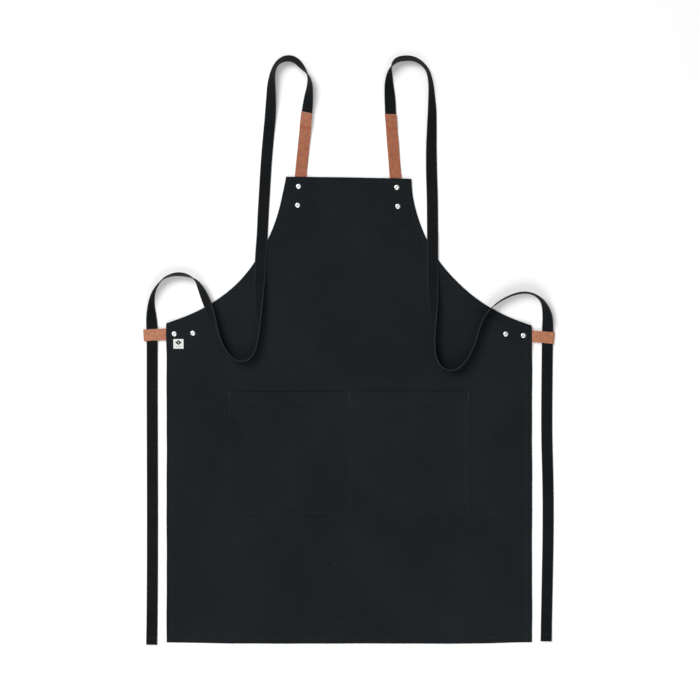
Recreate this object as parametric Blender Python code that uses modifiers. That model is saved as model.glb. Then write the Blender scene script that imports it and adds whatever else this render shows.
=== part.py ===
"""Bib apron laid flat, front side up.

A canvas panel with a sewn-on front pocket, leather shoulder tabs and leather side loops
riveted behind the canvas, and two webbing straps that run from the shoulder tabs, down over
the panel and out through the side loops.

Frame: metres, +Z up.  The apron lies on the plane z = 0, the bib points along +Y, and the
origin is the middle of the apron on that plane.  "left" is the -X side.
"""
import math

import bmesh
import bpy
from mathutils import Matrix, Vector

# ---------------------------------------------------------------- driving dimensions (metres)
GAP = 0.0003                       # air between touching pieces

PANEL_HALF_WIDTH = 0.353
PANEL_BOTTOM_Y = -0.5127
PANEL_TOP_Y = 0.3873
BIB_HALF_WIDTH = 0.1212
SIDE_CORNER_Y = 0.105              # where the armhole meets the side edge
ARMHOLE_BIB_HANDLE = (0.1328, 0.2664)
ARMHOLE_SIDE_HANDLE = (0.2012, 0.1487)
ARMHOLE_STEPS = 20
CLOTH_THICKNESS = 0.0012
OUTLINE_CUT_HALF_DEPTH = 0.02
OUTLINE_MARGIN = 0.006             # the sheet is this much bigger before it is cut
WELD_DISTANCE = 0.00001

POCKET_HALF_WIDTH = 0.234
POCKET_BOTTOM_Y = -0.2634
POCKET_TOP_Y = -0.0255
POCKET_THICKNESS = 0.0010

LEATHER_THICKNESS = 0.0014
LEATHER_WIDTH = 0.022

TAB_FOOT_Y = 0.318                 # lower end, hidden behind the bib
TAB_TIPS = {"left": (-0.0808, 0.5131), "right": (0.0806, 0.5100)}  # middle of the upper end
TAB_LEANS = {"left": 0.1013, "right": 0.0781}  # metres a tab leans in per metre of height
TAB_SETTLE_LENGTH = 0.030          # run over which the tab comes down onto the table
TAB_PART_GAP = 0.0013              # each length of a tab stops this far short of the fold

LOOP_PIVOTS = {"left": (-0.3369, 0.0858), "right": (0.3367, 0.0827)}  # at the outer rivet
LOOP_DROPS = {"left": 0.045, "right": 0.084}  # metres a loop drops per metre outwards
LOOP_INNER_X = 0.290
LOOP_OUTER_X = 0.397
LOOP_MOUTH_X = 0.3535              # where the two plies part, at the panel's side edge
LOOP_PART_LENGTH = 0.009           # run over which the plies spread round the strap
LOOP_SLOT_START = 0.002            # the slot starts this far beyond the mouth
LOOP_SLOT_EASE = 0.0004            # the slot's round end sits this much further out
LOOP_TURN_STEPS = 8

RIVET_CAP_RADIUS = 0.0052
RIVET_CAP_HEIGHT = 0.0019
RIVET_POST_RADIUS = 0.0015
RIVET_BACK_RADIUS = 0.0045
RIVET_BACK_HEIGHT = 0.0008
RIVET_HOLE_RADIUS = RIVET_POST_RADIUS + GAP
ROUND_STEPS = 24
POST_CUT_LEVELS = (-0.01, 0.03)    # the post holes are cut between these heights
SHOULDER_RIVETS = {
    "left": {"upper": (-0.0972, 0.3705), "lower": (-0.0988, 0.3341)},
    "right": {"upper": (0.0926, 0.3686), "lower": (0.0945, 0.3320)},
}
LOOP_RIVETS = {
    "left": {"outer": (-0.3369, 0.0858), "inner": (-0.3010, 0.0872)},
    "right": {"outer": (0.3367, 0.0827), "inner": (0.3027, 0.0856)},
}

LABEL_OUTER_X = 0.3400
LABEL_INNER_X = 0.3185
LABEL_BOTTOM_Y = 0.0555
LABEL_TOP_Y = 0.0758
LABEL_THICKNESS = 0.0006

STRAP_WIDTH = 0.0212
STRAP_THICKNESS = 0.0015
STRAP_STEP = 0.009                 # length of one facet along a strap
STRAP_END_GAP = 0.0005             # each length stops this far short of where it meets the next

# ---------------------------------------------------------------- levels above the table
LEATHER_LEVEL = RIVET_BACK_HEIGHT + GAP
SHOULDER_LIFT = LEATHER_LEVEL + LEATHER_THICKNESS + GAP
LOOP_LIFT = LEATHER_LEVEL + 2.0 * LEATHER_THICKNESS + GAP
ON_CLOTH = CLOTH_THICKNESS + GAP   # a strap lying on the panel
ON_HEM = ON_CLOTH + 0.0009         # a strap crossing the panel's hemmed edge
IN_LOOP = LEATHER_THICKNESS + GAP  # a strap inside a side loop

# The canvas stands clear of the table over the leather: |x| and y where each rise starts,
# is complete, and for the shoulders where it ends again.
SHOULDER_RISE_X = (0.050, 0.074, 0.113, 0.137)
SHOULDER_RISE_Y = (0.282, 0.312)
LOOP_RISE_X = (0.266, 0.286)
LOOP_RISE_Y = (0.036, 0.066, 0.099, 0.129)

# ---------------------------------------------------------------- joint lines
FOLD_Y = PANEL_TOP_Y + 0.003       # the shoulder straps fold over the bib along this line
FOLD_Z = 0.0045
FOLD_X = 0.081
SLIDE_Y = 0.0825
ARCH_START_X = 0.2665              # the strap's free arch starts here ...
TAIL_START_Y = 0.1145              # ... and the straight sliding tail starts here

# ---------------------------------------------------------------- strap routes
# x, y, height of the surface under the strap, roll in degrees.  Roll 0 lies flat; a positive
# roll lifts the edge on the left of the way the route runs.
LEFT_ROUTE = [
    (-0.0808, 0.5136, 0.0, 0), (-0.0782, 0.5378, 0.0, -35), (-0.0757, 0.5572, 0.0, -56),
    (-0.0756, 0.5680, 0.0, -68), (-0.0772, 0.5790, 0.0, -80), (-0.0820, 0.5895, 0.0, -96),
    (-0.0900, 0.6000, 0.0, -112), (-0.1012, 0.6092, 0.0, -120), (-0.1133, 0.6132, 0.0, -124),
    (-0.1255, 0.6125, 0.0, -122), (-0.1362, 0.6060, 0.0, -113), (-0.1432, 0.5955, 0.0, -111),
    (-0.1470, 0.5835, 0.0, -118), (-0.1494, 0.5640, 0.0, -134), (-0.1502, 0.5378, 0.0, -153),
    (-0.1520, 0.5030, 0.0, -175), (-0.1560, 0.4605, 0.0, -180), (-0.1592, 0.4219, 0.0, -180),
    (-0.1613, FOLD_Y, 0.0, -180), (-0.1640, 0.3446, 0.0, -180), (-0.1654, 0.3200, 0.0, -180),
    (-0.1677, 0.2720, ON_HEM, -180), (-0.1700, 0.2400, ON_HEM, -180), (-0.1717, 0.2010, ON_HEM, -176),
    (-0.1730, 0.1620, ON_CLOTH, -145), (-0.1738, 0.1200, ON_CLOTH, -120),
    (-0.1752, 0.0850, ON_CLOTH, -101), (-0.1784, 0.0610, ON_CLOTH, -92),
    (-0.1862, 0.0428, ON_CLOTH, -90), (-0.1995, 0.0332, ON_CLOTH, -90),
    (-0.2145, 0.0342, ON_CLOTH, -90), (-0.2285, 0.0440, ON_CLOTH, -88),
    (-0.2410, 0.0615, ON_CLOTH, -86), (-0.2510, 0.0850, ON_CLOTH, -80),
    (-0.2597, 0.1105, ON_CLOTH, -64), (-0.2665, 0.1290, ON_HEM, -46),
    (-0.2745, 0.1480, ON_HEM, -38), (-0.2842, 0.1710, 0.0010, -52), (-0.2955, 0.1880, 0.0, -82),
    (-0.3100, 0.1965, 0.0, -98), (-0.3264, 0.1998, 0.0, -105), (-0.3430, 0.1980, 0.0, -100),
    (-0.3575, 0.1915, 0.0, -92), (-0.3690, 0.1800, 0.0, -86), (-0.3762, 0.1655, 0.0, -76),
    (-0.3795, 0.1500, 0.0006, -60), (-0.3808, 0.1350, 0.0012, -38), (-0.3803, 0.1220, IN_LOOP, -10),
    (-0.3800, TAIL_START_Y, IN_LOOP, 0), (-0.3800, 0.0825, IN_LOOP, 0), (-0.3800, 0.0200, IN_LOOP, 0),
    (-0.3800, -0.0450, IN_LOOP, 0), (-0.3798, -0.1150, 0.0, 0), (-0.3795, -0.2400, 0.0, 0),
    (-0.3796, -0.3600, 0.0, 0), (-0.3801, -0.4500, 0.0, 0), (-0.3809, -0.5150, 0.0, 0),
]
RIGHT_ROUTE = [
    (0.0806, 0.5105, 0.0, 0), (0.0795, 0.5330, 0.0, 6), (0.0783, 0.5510, 0.0, 24),
    (0.0777, 0.5680, 0.0, 42), (0.0782, 0.5830, 0.0, 60), (0.0803, 0.5950, 0.0, 82),
    (0.0852, 0.6052, 0.0, 104), (0.0945, 0.6118, 0.0, 116), (0.1084, 0.6146, 0.0, 119),
    (0.1219, 0.6138, 0.0, 115), (0.1335, 0.6088, 0.0, 109), (0.1440, 0.6008, 0.0, 106),
    (0.1515, 0.5918, 0.0, 106), (0.1563, 0.5800, 0.0, 110), (0.1592, 0.5640, 0.0, 117),
    (0.1604, 0.5430, 0.0, 126), (0.1608, 0.5150, 0.0, 140), (0.1602, 0.4799, 0.0, 152),
    (0.1592, 0.4412, 0.0, 164), (0.1598, FOLD_Y, 0.0, 178), (0.1608, 0.3600, 0.0, 180),
    (0.1613, 0.3320, 0.0, 180), (0.1616, 0.2840, ON_HEM, 180), (0.1616, 0.2450, ON_HEM, 180),
    (0.1618, 0.2080, ON_HEM, 183),
    (0.1622, 0.1700, ON_CLOTH, 202), (0.1634, 0.1300, ON_CLOTH, 234),
    (0.1638, 0.0960, ON_CLOTH, 256), (0.1646, 0.0640, ON_CLOTH, 268),
    (0.1679, 0.0410, ON_CLOTH, 270), (0.1770, 0.0238, ON_CLOTH, 270),
    (0.1925, 0.0150, ON_CLOTH, 270), (0.2082, 0.0180, ON_CLOTH, 270),
    (0.2225, 0.0305, ON_CLOTH, 270), (0.2340, 0.0485, ON_CLOTH, 270),
    (0.2425, 0.0690, ON_CLOTH, 270), (0.2500, 0.0930, ON_CLOTH, 270),
    (0.2590, 0.1165, ON_CLOTH, 270), (0.2737, 0.1350, ON_HEM, 270),
    (0.2920, 0.1490, 0.0010, 267), (0.3113, 0.1585, 0.0, 268), (0.3300, 0.1640, 0.0, 268),
    (0.3450, 0.1640, 0.0, 268), (0.3590, 0.1592, 0.0, 262), (0.3712, 0.1500, 0.0, 249),
    (0.3790, 0.1390, 0.0006, 226), (0.3826, 0.1275, 0.0013, 199), (0.3836, 0.1210, IN_LOOP, 184),
    (0.3836, TAIL_START_Y, IN_LOOP, 180), (0.3836, 0.0825, IN_LOOP, 180), (0.3835, 0.0200, IN_LOOP, 180),
    (0.3830, -0.0450, IN_LOOP, 180), (0.3830, -0.1150, 0.0, 180), (0.3850, -0.2150, 0.0, 180),
    (0.3851, -0.3000, 0.0, 180), (0.3836, -0.3899, 0.0, 180), (0.3821, -0.4671, 0.0, 180),
    (0.3813, -0.5093, 0.0, 180),
]

# ---------------------------------------------------------------- finishes (RGB, roughness, metallic)
FINISHES = {
    "canvas": ((0.0145, 0.0178, 0.0205), 0.95, 0.0),
    "pocket_canvas": ((0.0150, 0.0183, 0.0210), 0.95, 0.0),
    "webbing": ((0.0080, 0.0088, 0.0100), 0.80, 0.0),
    "tan_leather": ((0.420, 0.150, 0.083), 0.55, 0.0),
    "nickel": ((0.72, 0.72, 0.73), 0.22, 1.0),
    "label_cloth": ((0.74, 0.76, 0.73), 0.80, 0.0),
}


# ---------------------------------------------------------------- scene helpers
def clear_scene():
    """Remove whatever objects and collections the file holds."""
    for obj in list(bpy.data.objects):
        bpy.data.objects.remove(obj, do_unlink=True)
    for collection in list(bpy.data.collections):
        bpy.data.collections.remove(collection)


def new_collection(name):
    """Add an empty collection to the scene."""
    collection = bpy.data.collections.new(name)
    bpy.context.scene.collection.children.link(collection)
    return collection


def finish_material(node_name, finish):
    """Give each node its own Principled material in one of the finishes."""
    colour, roughness, metallic = FINISHES[finish]
    material = bpy.data.materials.new(f"{node_name}_{finish}")
    material.use_nodes = True
    shader = material.node_tree.nodes["Principled BSDF"]
    shader.inputs["Base Color"].default_value = (*colour, 1.0)
    shader.inputs["Roughness"].default_value = roughness
    shader.inputs["Metallic"].default_value = metallic
    material.diffuse_color = (*colour, 1.0)
    return material


def add_piece(name, data, finish, parent=None):
    """Link a mesh or curve as one named piece, keeping its place under its parent."""
    obj = bpy.data.objects.new(name, data)
    PARTS.objects.link(obj)
    data.materials.append(finish_material(name, finish))
    if parent is not None:
        obj.parent = parent
        obj.matrix_parent_inverse = Matrix.Translation(parent.location).inverted()
    return obj


def add_axis(name, location):
    """An empty on a joint's axis, which the moving pieces hang from."""
    empty = bpy.data.objects.new(name, None)
    empty.empty_display_size = 0.03
    empty.location = location
    PARTS.objects.link(empty)
    return empty


def add_cutter(name, data):
    """Link a helper solid that only cuts other pieces."""
    obj = bpy.data.objects.new(name, data)
    CUTTERS.objects.link(obj)
    obj.display_type = "WIRE"
    obj.hide_render = True
    return obj


def cut(obj, cutter, operation="DIFFERENCE"):
    """Add an exact Boolean modifier."""
    modifier = obj.modifiers.new(f"{operation.lower()}_{cutter.name}", "BOOLEAN")
    modifier.operation = operation
    modifier.solver = "EXACT"
    modifier.object = cutter
    return modifier


def solidify(obj, thickness, offset):
    """Turn an open surface into a closed sheet."""
    modifier = obj.modifiers.new("thickness", "SOLIDIFY")
    modifier.thickness = thickness
    modifier.offset = offset
    modifier.use_even_offset = True
    return modifier


def curve_to_mesh(curve_obj):
    """Replace a filled curve by a welded mesh, so that it can be cut."""
    depsgraph = bpy.context.evaluated_depsgraph_get()
    evaluated = curve_obj.evaluated_get(depsgraph)
    mesh = bpy.data.meshes.new_from_object(evaluated)
    mesh.transform(curve_obj.matrix_world)
    work = bmesh.new()
    work.from_mesh(mesh)
    bmesh.ops.remove_doubles(work, verts=work.verts, dist=WELD_DISTANCE)
    bmesh.ops.recalc_face_normals(work, faces=work.faces)
    work.to_mesh(mesh)
    work.free()
    mesh.materials.clear()
    bpy.data.objects.remove(curve_obj, do_unlink=True)
    return mesh


# ---------------------------------------------------------------- shape helpers
def ramp(value, low, high):
    """0 below low, 1 above high, straight between."""
    return min(max((value - low) / (high - low), 0.0), 1.0)


def cloth_level(x, y):
    """Height of the canvas's underside above the table."""
    away = abs(x)
    shoulder = ramp(away, SHOULDER_RISE_X[0], SHOULDER_RISE_X[1])
    shoulder *= 1.0 - ramp(away, SHOULDER_RISE_X[2], SHOULDER_RISE_X[3])
    shoulder *= ramp(y, SHOULDER_RISE_Y[0], SHOULDER_RISE_Y[1])
    loop = ramp(away, LOOP_RISE_X[0], LOOP_RISE_X[1])
    loop *= ramp(y, LOOP_RISE_Y[0], LOOP_RISE_Y[1]) * (1.0 - ramp(y, LOOP_RISE_Y[2], LOOP_RISE_Y[3]))
    return SHOULDER_LIFT * shoulder + LOOP_LIFT * loop


def grid_mesh(name, x_lines, y_lines, place):
    """A sheet with a row of vertices on each given line; place(x, y) gives each vertex."""
    work = bmesh.new()
    bmesh.ops.create_grid(work, x_segments=len(x_lines) - 1, y_segments=len(y_lines) - 1, size=1.0)
    for vert in work.verts:
        column = round((vert.co.x + 1.0) / 2.0 * (len(x_lines) - 1))
        row = round((vert.co.y + 1.0) / 2.0 * (len(y_lines) - 1))
        vert.co = place(x_lines[column], y_lines[row])
    mesh = bpy.data.meshes.new(name)
    work.to_mesh(mesh)
    work.free()
    return mesh


def peg_mesh(name, centres, radius, low, high):
    """Upright cylinders, one at each (x, y)."""
    work = bmesh.new()
    for x, y in centres:
        place = Matrix.Translation((x, y, (low + high) / 2.0))
        bmesh.ops.create_cone(work, cap_ends=True, segments=ROUND_STEPS, radius1=radius,
                              radius2=radius, depth=high - low, matrix=place)
    mesh = bpy.data.meshes.new(name)
    work.to_mesh(mesh)
    work.free()
    return mesh


def turned_piece(name, profile, location, finish):
    """A rivet half: a profile of (radius, height) turned about the vertical."""
    work = bmesh.new()
    ring = [work.verts.new((radius, 0.0, height)) for radius, height in profile]
    for first, second in zip(ring, ring[1:]):
        work.edges.new((first, second))
    mesh = bpy.data.meshes.new(name)
    work.to_mesh(mesh)
    work.free()
    obj = add_piece(name, mesh, finish)
    obj.location = location
    screw = obj.modifiers.new("turn", "SCREW")
    screw.axis = "Z"
    screw.steps = ROUND_STEPS
    screw.render_steps = ROUND_STEPS
    screw.use_merge_vertices = True
    screw.merge_threshold = WELD_DISTANCE
    screw.use_smooth_shade = True
    return obj


def flat_curve(name, splines, half_depth):
    """A filled 2D outline of straight-sided splines, extruded both ways."""
    curve = bpy.data.curves.new(name, "CURVE")
    curve.dimensions = "2D"
    curve.fill_mode = "BOTH"
    curve.extrude = half_depth
    for points in splines:
        spline = curve.splines.new("POLY")
        spline.points.add(len(points) - 1)
        for point, (x, y) in zip(spline.points, points):
            point.co = (x, y, 0.0, 1.0)
        spline.use_cyclic_u = True
    return curve


def arc(centre_x, centre_y, radius, start_degrees, end_degrees, steps):
    """Points along a circular arc, ends included."""
    points = []
    for index in range(steps + 1):
        angle = math.radians(start_degrees + (end_degrees - start_degrees) * index / steps)
        points.append((centre_x + radius * math.cos(angle), centre_y + radius * math.sin(angle)))
    return points


def smooth_route(route, step):
    """A smooth curve through the route's points, about one step apart, and where each lies on it."""
    samples = []
    marks = []
    for index in range(len(route) - 1):
        marks.append(len(samples))
        before = route[max(index - 1, 0)]
        start = route[index]
        end = route[index + 1]
        after = route[min(index + 2, len(route) - 1)]
        count = max(1, round(math.dist(start[:2], end[:2]) / step))
        for part in range(count):
            samples.append(catmull_rom(before, start, end, after, part / count))
    marks.append(len(samples))
    samples.append(route[-1])
    return samples, marks


def catmull_rom(before, start, end, after, t):
    """One point between start and end on the curve that also heeds their neighbours."""
    values = []
    for a, b, c, d in zip(before, start, end, after):
        bend = 2.0 * a - 5.0 * b + 4.0 * c - d
        twist = 3.0 * b - a - 3.0 * c + d
        values.append(0.5 * (2.0 * b + (c - a) * t + bend * t * t + twist * t * t * t))
    return tuple(values)


def rest_point(x, y, surface, roll_degrees):
    """The strap's centre where its lowest edge rests on the surface."""
    roll = math.radians(roll_degrees)
    reach = STRAP_WIDTH / 2.0 * abs(math.sin(roll)) + STRAP_THICKNESS / 2.0 * abs(math.cos(roll))
    return Vector((x, y, max(surface, 0.0) + reach))


def route_index(route, test):
    """Index of the first route point that meets the test."""
    return next(index for index, point in enumerate(route) if test(point))


def strap_piece(name, samples, parent=None):
    """A flat webbing ribbon along part of a route, a little short of both of its ends."""
    centres = [rest_point(*sample) for sample in samples]
    rolls = [math.radians(sample[3]) for sample in samples]
    centres[0] += (centres[1] - centres[0]).normalized() * STRAP_END_GAP
    centres[-1] += (centres[-2] - centres[-1]).normalized() * STRAP_END_GAP
    curve = bpy.data.curves.new(name, "CURVE")
    curve.dimensions = "3D"
    curve.twist_mode = "Z_UP"
    curve.extrude = STRAP_WIDTH / 2.0
    spline = curve.splines.new("POLY")
    spline.points.add(len(centres) - 1)
    for point, centre, roll in zip(spline.points, centres, rolls):
        point.co = (*centre, 1.0)
        point.tilt = math.pi / 2.0 + roll
    obj = add_piece(name, curve, "webbing", parent)
    solidify(obj, STRAP_THICKNESS, 0.0)
    return obj


# ---------------------------------------------------------------- the apron's pieces
def panel_outline():
    """The canvas outline as a cutter: straight skirt, curved armholes, narrow bib."""
    curve = bpy.data.curves.new("panel_outline", "CURVE")
    curve.dimensions = "2D"
    curve.fill_mode = "BOTH"
    curve.extrude = OUTLINE_CUT_HALF_DEPTH
    curve.resolution_u = ARMHOLE_STEPS
    bib_x, bib_y = ARMHOLE_BIB_HANDLE
    side_x, side_y = ARMHOLE_SIDE_HANDLE
    # corner, handle behind it, handle ahead of it; None is a straight run
    corners = [
        ((BIB_HALF_WIDTH, PANEL_TOP_Y), None, (bib_x, bib_y)),
        ((PANEL_HALF_WIDTH, SIDE_CORNER_Y), (side_x, side_y), None),
        ((PANEL_HALF_WIDTH, PANEL_BOTTOM_Y), None, None),
        ((-PANEL_HALF_WIDTH, PANEL_BOTTOM_Y), None, None),
        ((-PANEL_HALF_WIDTH, SIDE_CORNER_Y), None, (-side_x, side_y)),
        ((-BIB_HALF_WIDTH, PANEL_TOP_Y), (-bib_x, bib_y), None),
    ]
    spline = curve.splines.new("BEZIER")
    spline.bezier_points.add(len(corners) - 1)
    for point, (corner, behind, ahead) in zip(spline.bezier_points, corners):
        point.co = (*corner, 0.0)
        point.handle_left_type = "VECTOR" if behind is None else "FREE"
        point.handle_right_type = "VECTOR" if ahead is None else "FREE"
        if behind is not None:
            point.handle_left = (*behind, 0.0)
        if ahead is not None:
            point.handle_right = (*ahead, 0.0)
    spline.use_cyclic_u = True
    obj = bpy.data.objects.new("panel_outline_curve", curve)
    CUTTERS.objects.link(obj)
    return add_cutter("panel_outline", curve_to_mesh(obj))


def rivet_places():
    """Where every rivet goes through, as (x, y)."""
    sides = list(SHOULDER_RIVETS.values()) + list(LOOP_RIVETS.values())
    return [place for rivets in sides for place in rivets.values()]


def build_panel(post_holes):
    """One ply of canvas, lifted over the leather, cut to the outline and holed for the posts."""
    half_lines = (*SHOULDER_RISE_X, *LOOP_RISE_X, PANEL_HALF_WIDTH + OUTLINE_MARGIN)
    x_lines = [-x for x in reversed(half_lines)] + list(half_lines)
    y_lines = [PANEL_BOTTOM_Y - OUTLINE_MARGIN, *LOOP_RISE_Y, *SHOULDER_RISE_Y, PANEL_TOP_Y + OUTLINE_MARGIN]
    mesh = grid_mesh("apron_panel", x_lines, y_lines, lambda x, y: (x, y, cloth_level(x, y)))
    panel = add_piece("apron_panel", mesh, "canvas")
    solidify(panel, CLOTH_THICKNESS, 1.0)
    cut(panel, panel_outline(), "INTERSECT")
    cut(panel, post_holes)
    return panel


def build_pocket():
    """The patch pocket, a second ply on the skirt."""
    level = CLOTH_THICKNESS + GAP
    lines_x = [-POCKET_HALF_WIDTH, POCKET_HALF_WIDTH]
    lines_y = [POCKET_BOTTOM_Y, POCKET_TOP_Y]
    mesh = grid_mesh("front_pocket", lines_x, lines_y, lambda x, y: (x, y, level))
    pocket = add_piece("front_pocket", mesh, "pocket_canvas")
    solidify(pocket, POCKET_THICKNESS, 1.0)
    return pocket


def build_label():
    """The woven label lies on the canvas and follows its slope."""
    level = CLOTH_THICKNESS + GAP
    lines_x = [-LABEL_OUTER_X, -LABEL_INNER_X]
    lines_y = [LABEL_BOTTOM_Y, LOOP_RISE_Y[1], LABEL_TOP_Y]
    mesh = grid_mesh("woven_label", lines_x, lines_y, lambda x, y: (x, y, cloth_level(x, y) + level))
    label = add_piece("woven_label", mesh, "label_cloth")
    solidify(label, LABEL_THICKNESS, 1.0)
    return label


def tab_level(y):
    """Underside of a shoulder tab: up behind the bib, on the table further out."""
    return LEATHER_LEVEL * (1.0 - ramp(y, FOLD_Y, FOLD_Y + TAB_SETTLE_LENGTH))


def tab_mesh(name, side_name, side, y_lines):
    """A length of leather strip that leans in towards the bib's middle."""
    tip_x, tip_y = TAB_TIPS[side_name]
    lean = side * math.atan(TAB_LEANS[side_name])

    def place(across, along):
        distance = (along - tip_y) / math.cos(lean)
        x = tip_x + across * math.cos(lean) - distance * math.sin(lean)
        y = tip_y + across * math.sin(lean) + distance * math.cos(lean)
        return (x, y, tab_level(along))

    half = LEATHER_WIDTH / 2.0
    return grid_mesh(name, [-half, half], y_lines, place)


def build_tab(side_name, side, fold_axis, post_holes):
    """The shoulder tab in two lengths, which part at the fold line."""
    base_lines = [TAB_FOOT_Y, FOLD_Y - TAB_PART_GAP]
    upper_lines = [FOLD_Y + TAB_PART_GAP, FOLD_Y + TAB_SETTLE_LENGTH, TAB_TIPS[side_name][1]]
    base_mesh = tab_mesh("tab_base", side_name, side, base_lines)
    base = add_piece(f"{side_name}_tab_base", base_mesh, "tan_leather")
    solidify(base, LEATHER_THICKNESS, 1.0)
    cut(base, post_holes)
    upper_mesh = tab_mesh("tab_upper", side_name, side, upper_lines)
    upper = add_piece(f"{side_name}_tab_upper", upper_mesh, "tan_leather", fold_axis)
    solidify(upper, LEATHER_THICKNESS, 1.0)
    return base, upper


def loop_outline(side):
    """Side view of a side loop, x outward and z up: an outer outline and the slot in it."""
    ply = LEATHER_THICKNESS
    top = 2.0 * IN_LOOP + STRAP_THICKNESS
    radius = top / 2.0
    low, high = LEATHER_LEVEL, LEATHER_LEVEL + 2.0 * ply
    open_x = LOOP_MOUTH_X + LOOP_PART_LENGTH
    outer = [(LOOP_INNER_X, low), (LOOP_MOUTH_X, low), (open_x, 0.0)]
    outer += arc(LOOP_OUTER_X - radius, radius, radius, -90.0, 90.0, LOOP_TURN_STEPS)
    outer += [(open_x, top), (LOOP_MOUTH_X, high), (LOOP_INNER_X, high)]
    slot_radius = radius - ply
    slot = [(LOOP_MOUTH_X + LOOP_SLOT_START, (low + high) / 2.0), (open_x, ply)]
    slot_centre_x = LOOP_OUTER_X - radius + LOOP_SLOT_EASE
    slot += arc(slot_centre_x, radius, slot_radius, -90.0, 90.0, LOOP_TURN_STEPS)
    slot += [(open_x, top - ply)]
    if side == -1:
        outer = [(-x, z) for x, z in outer]
        slot = [(-x, z) for x, z in slot]
    return outer, slot


def build_side_loop(side_name, side, post_holes):
    """A leather strip folded round the strap, both plies riveted behind the panel."""
    curve = flat_curve(f"{side_name}_side_loop", loop_outline(side), LEATHER_WIDTH / 2.0)
    obj = bpy.data.objects.new("loop_curve", curve)
    CUTTERS.objects.link(obj)
    pivot_x, pivot_y = LOOP_PIVOTS[side_name]
    turn = Matrix.Rotation(-side * math.atan(LOOP_DROPS[side_name]), 4, "Z")
    stand_up = Matrix.Rotation(math.pi / 2.0, 4, "X")
    back = Matrix.Translation((-pivot_x, 0.0, 0.0))
    obj.matrix_world = Matrix.Translation((pivot_x, pivot_y, 0.0)) @ turn @ back @ stand_up
    bpy.context.view_layer.update()
    loop = add_piece(f"{side_name}_side_loop", curve_to_mesh(obj), "tan_leather")
    cut(loop, post_holes)
    return loop


def build_rivet(name, x, y, lift):
    """A front cap with its post, and the back cap that closes it behind the leather."""
    base = lift + CLOTH_THICKNESS + GAP
    post_end = RIVET_BACK_HEIGHT + GAP - base
    height = RIVET_CAP_HEIGHT
    cap_profile = [
        (0.0, 0.55 * height), (0.0010, 0.58 * height), (0.0017, 0.88 * height), (0.0027, height),
        (0.0040, 0.84 * height), (0.0048, 0.55 * height), (RIVET_CAP_RADIUS, 0.22 * height),
        (RIVET_CAP_RADIUS - 0.0002, 0.0), (RIVET_POST_RADIUS, 0.0), (RIVET_POST_RADIUS, post_end),
        (0.0, post_end),
    ]
    turned_piece(f"{name}_cap", cap_profile, (x, y, base), "nickel")
    back_profile = [
        (0.0, RIVET_BACK_HEIGHT), (RIVET_BACK_RADIUS, RIVET_BACK_HEIGHT),
        (RIVET_BACK_RADIUS, 0.5 * RIVET_BACK_HEIGHT), (RIVET_BACK_RADIUS - 0.0010, 0.0), (0.0, 0.0),
    ]
    turned_piece(f"{name}_back", back_profile, (x, y, 0.0), "nickel")


def build_strap(side_name, route, fold_axis, slide_axis):
    """One strap in the four lengths that move on their own."""
    samples, marks = smooth_route(route, STRAP_STEP)
    fold = marks[route_index(route, lambda point: point[1] == FOLD_Y)]
    arch = marks[route_index(route, lambda point: abs(point[0]) >= ARCH_START_X)]
    tail = marks[route_index(route, lambda point: point[1] == TAIL_START_Y)]
    strap_piece(f"{side_name}_strap_bight", samples[:fold + 1], fold_axis)
    strap_piece(f"{side_name}_strap_front", samples[fold:arch + 1])
    strap_piece(f"{side_name}_strap_arch", samples[arch:tail + 1])
    strap_piece(f"{side_name}_strap_tail", samples[tail:], slide_axis)


def build_side(side_name, side, route, post_holes):
    """Everything that the apron has on one side."""
    fold_axis = add_axis(f"{side_name}_fold_axis", (side * FOLD_X, FOLD_Y, FOLD_Z))
    slide_axis = add_axis(f"{side_name}_slide_axis", (route[-1][0], SLIDE_Y, 0.0))
    build_tab(side_name, side, fold_axis, post_holes)
    build_side_loop(side_name, side, post_holes)
    for place, (x, y) in SHOULDER_RIVETS[side_name].items():
        build_rivet(f"{side_name}_shoulder_rivet_{place}", x, y, SHOULDER_LIFT)
    for place, (x, y) in LOOP_RIVETS[side_name].items():
        build_rivet(f"{side_name}_loop_rivet_{place}", x, y, LOOP_LIFT)
    build_strap(side_name, route, fold_axis, slide_axis)


clear_scene()
PARTS = new_collection("bib_apron")
CUTTERS = new_collection("bib_apron_cutters")
POSTS = peg_mesh("post_holes", rivet_places(), RIVET_HOLE_RADIUS, *POST_CUT_LEVELS)
POST_HOLES = add_cutter("post_holes", POSTS)
build_panel(POST_HOLES)
build_pocket()
build_label()
build_side("left", -1, LEFT_ROUTE, POST_HOLES)
build_side("right", 1, RIGHT_ROUTE, POST_HOLES)
bpy.context.view_layer.update()
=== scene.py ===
"""Bib apron laid flat on a pale floor, front side up.

A hemmed canvas panel with a divided patch pocket and a small woven label.  Two leather tabs
are riveted behind the bib and carry webbing straps, which run over the panel and out through
two riveted leather loops at the sides.  Metres, +Z up, the bib points along +Y.
"""
from __future__ import annotations

import logging
import math
from collections.abc import Callable, Sequence
from dataclasses import dataclass, field
from enum import Enum

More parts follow.
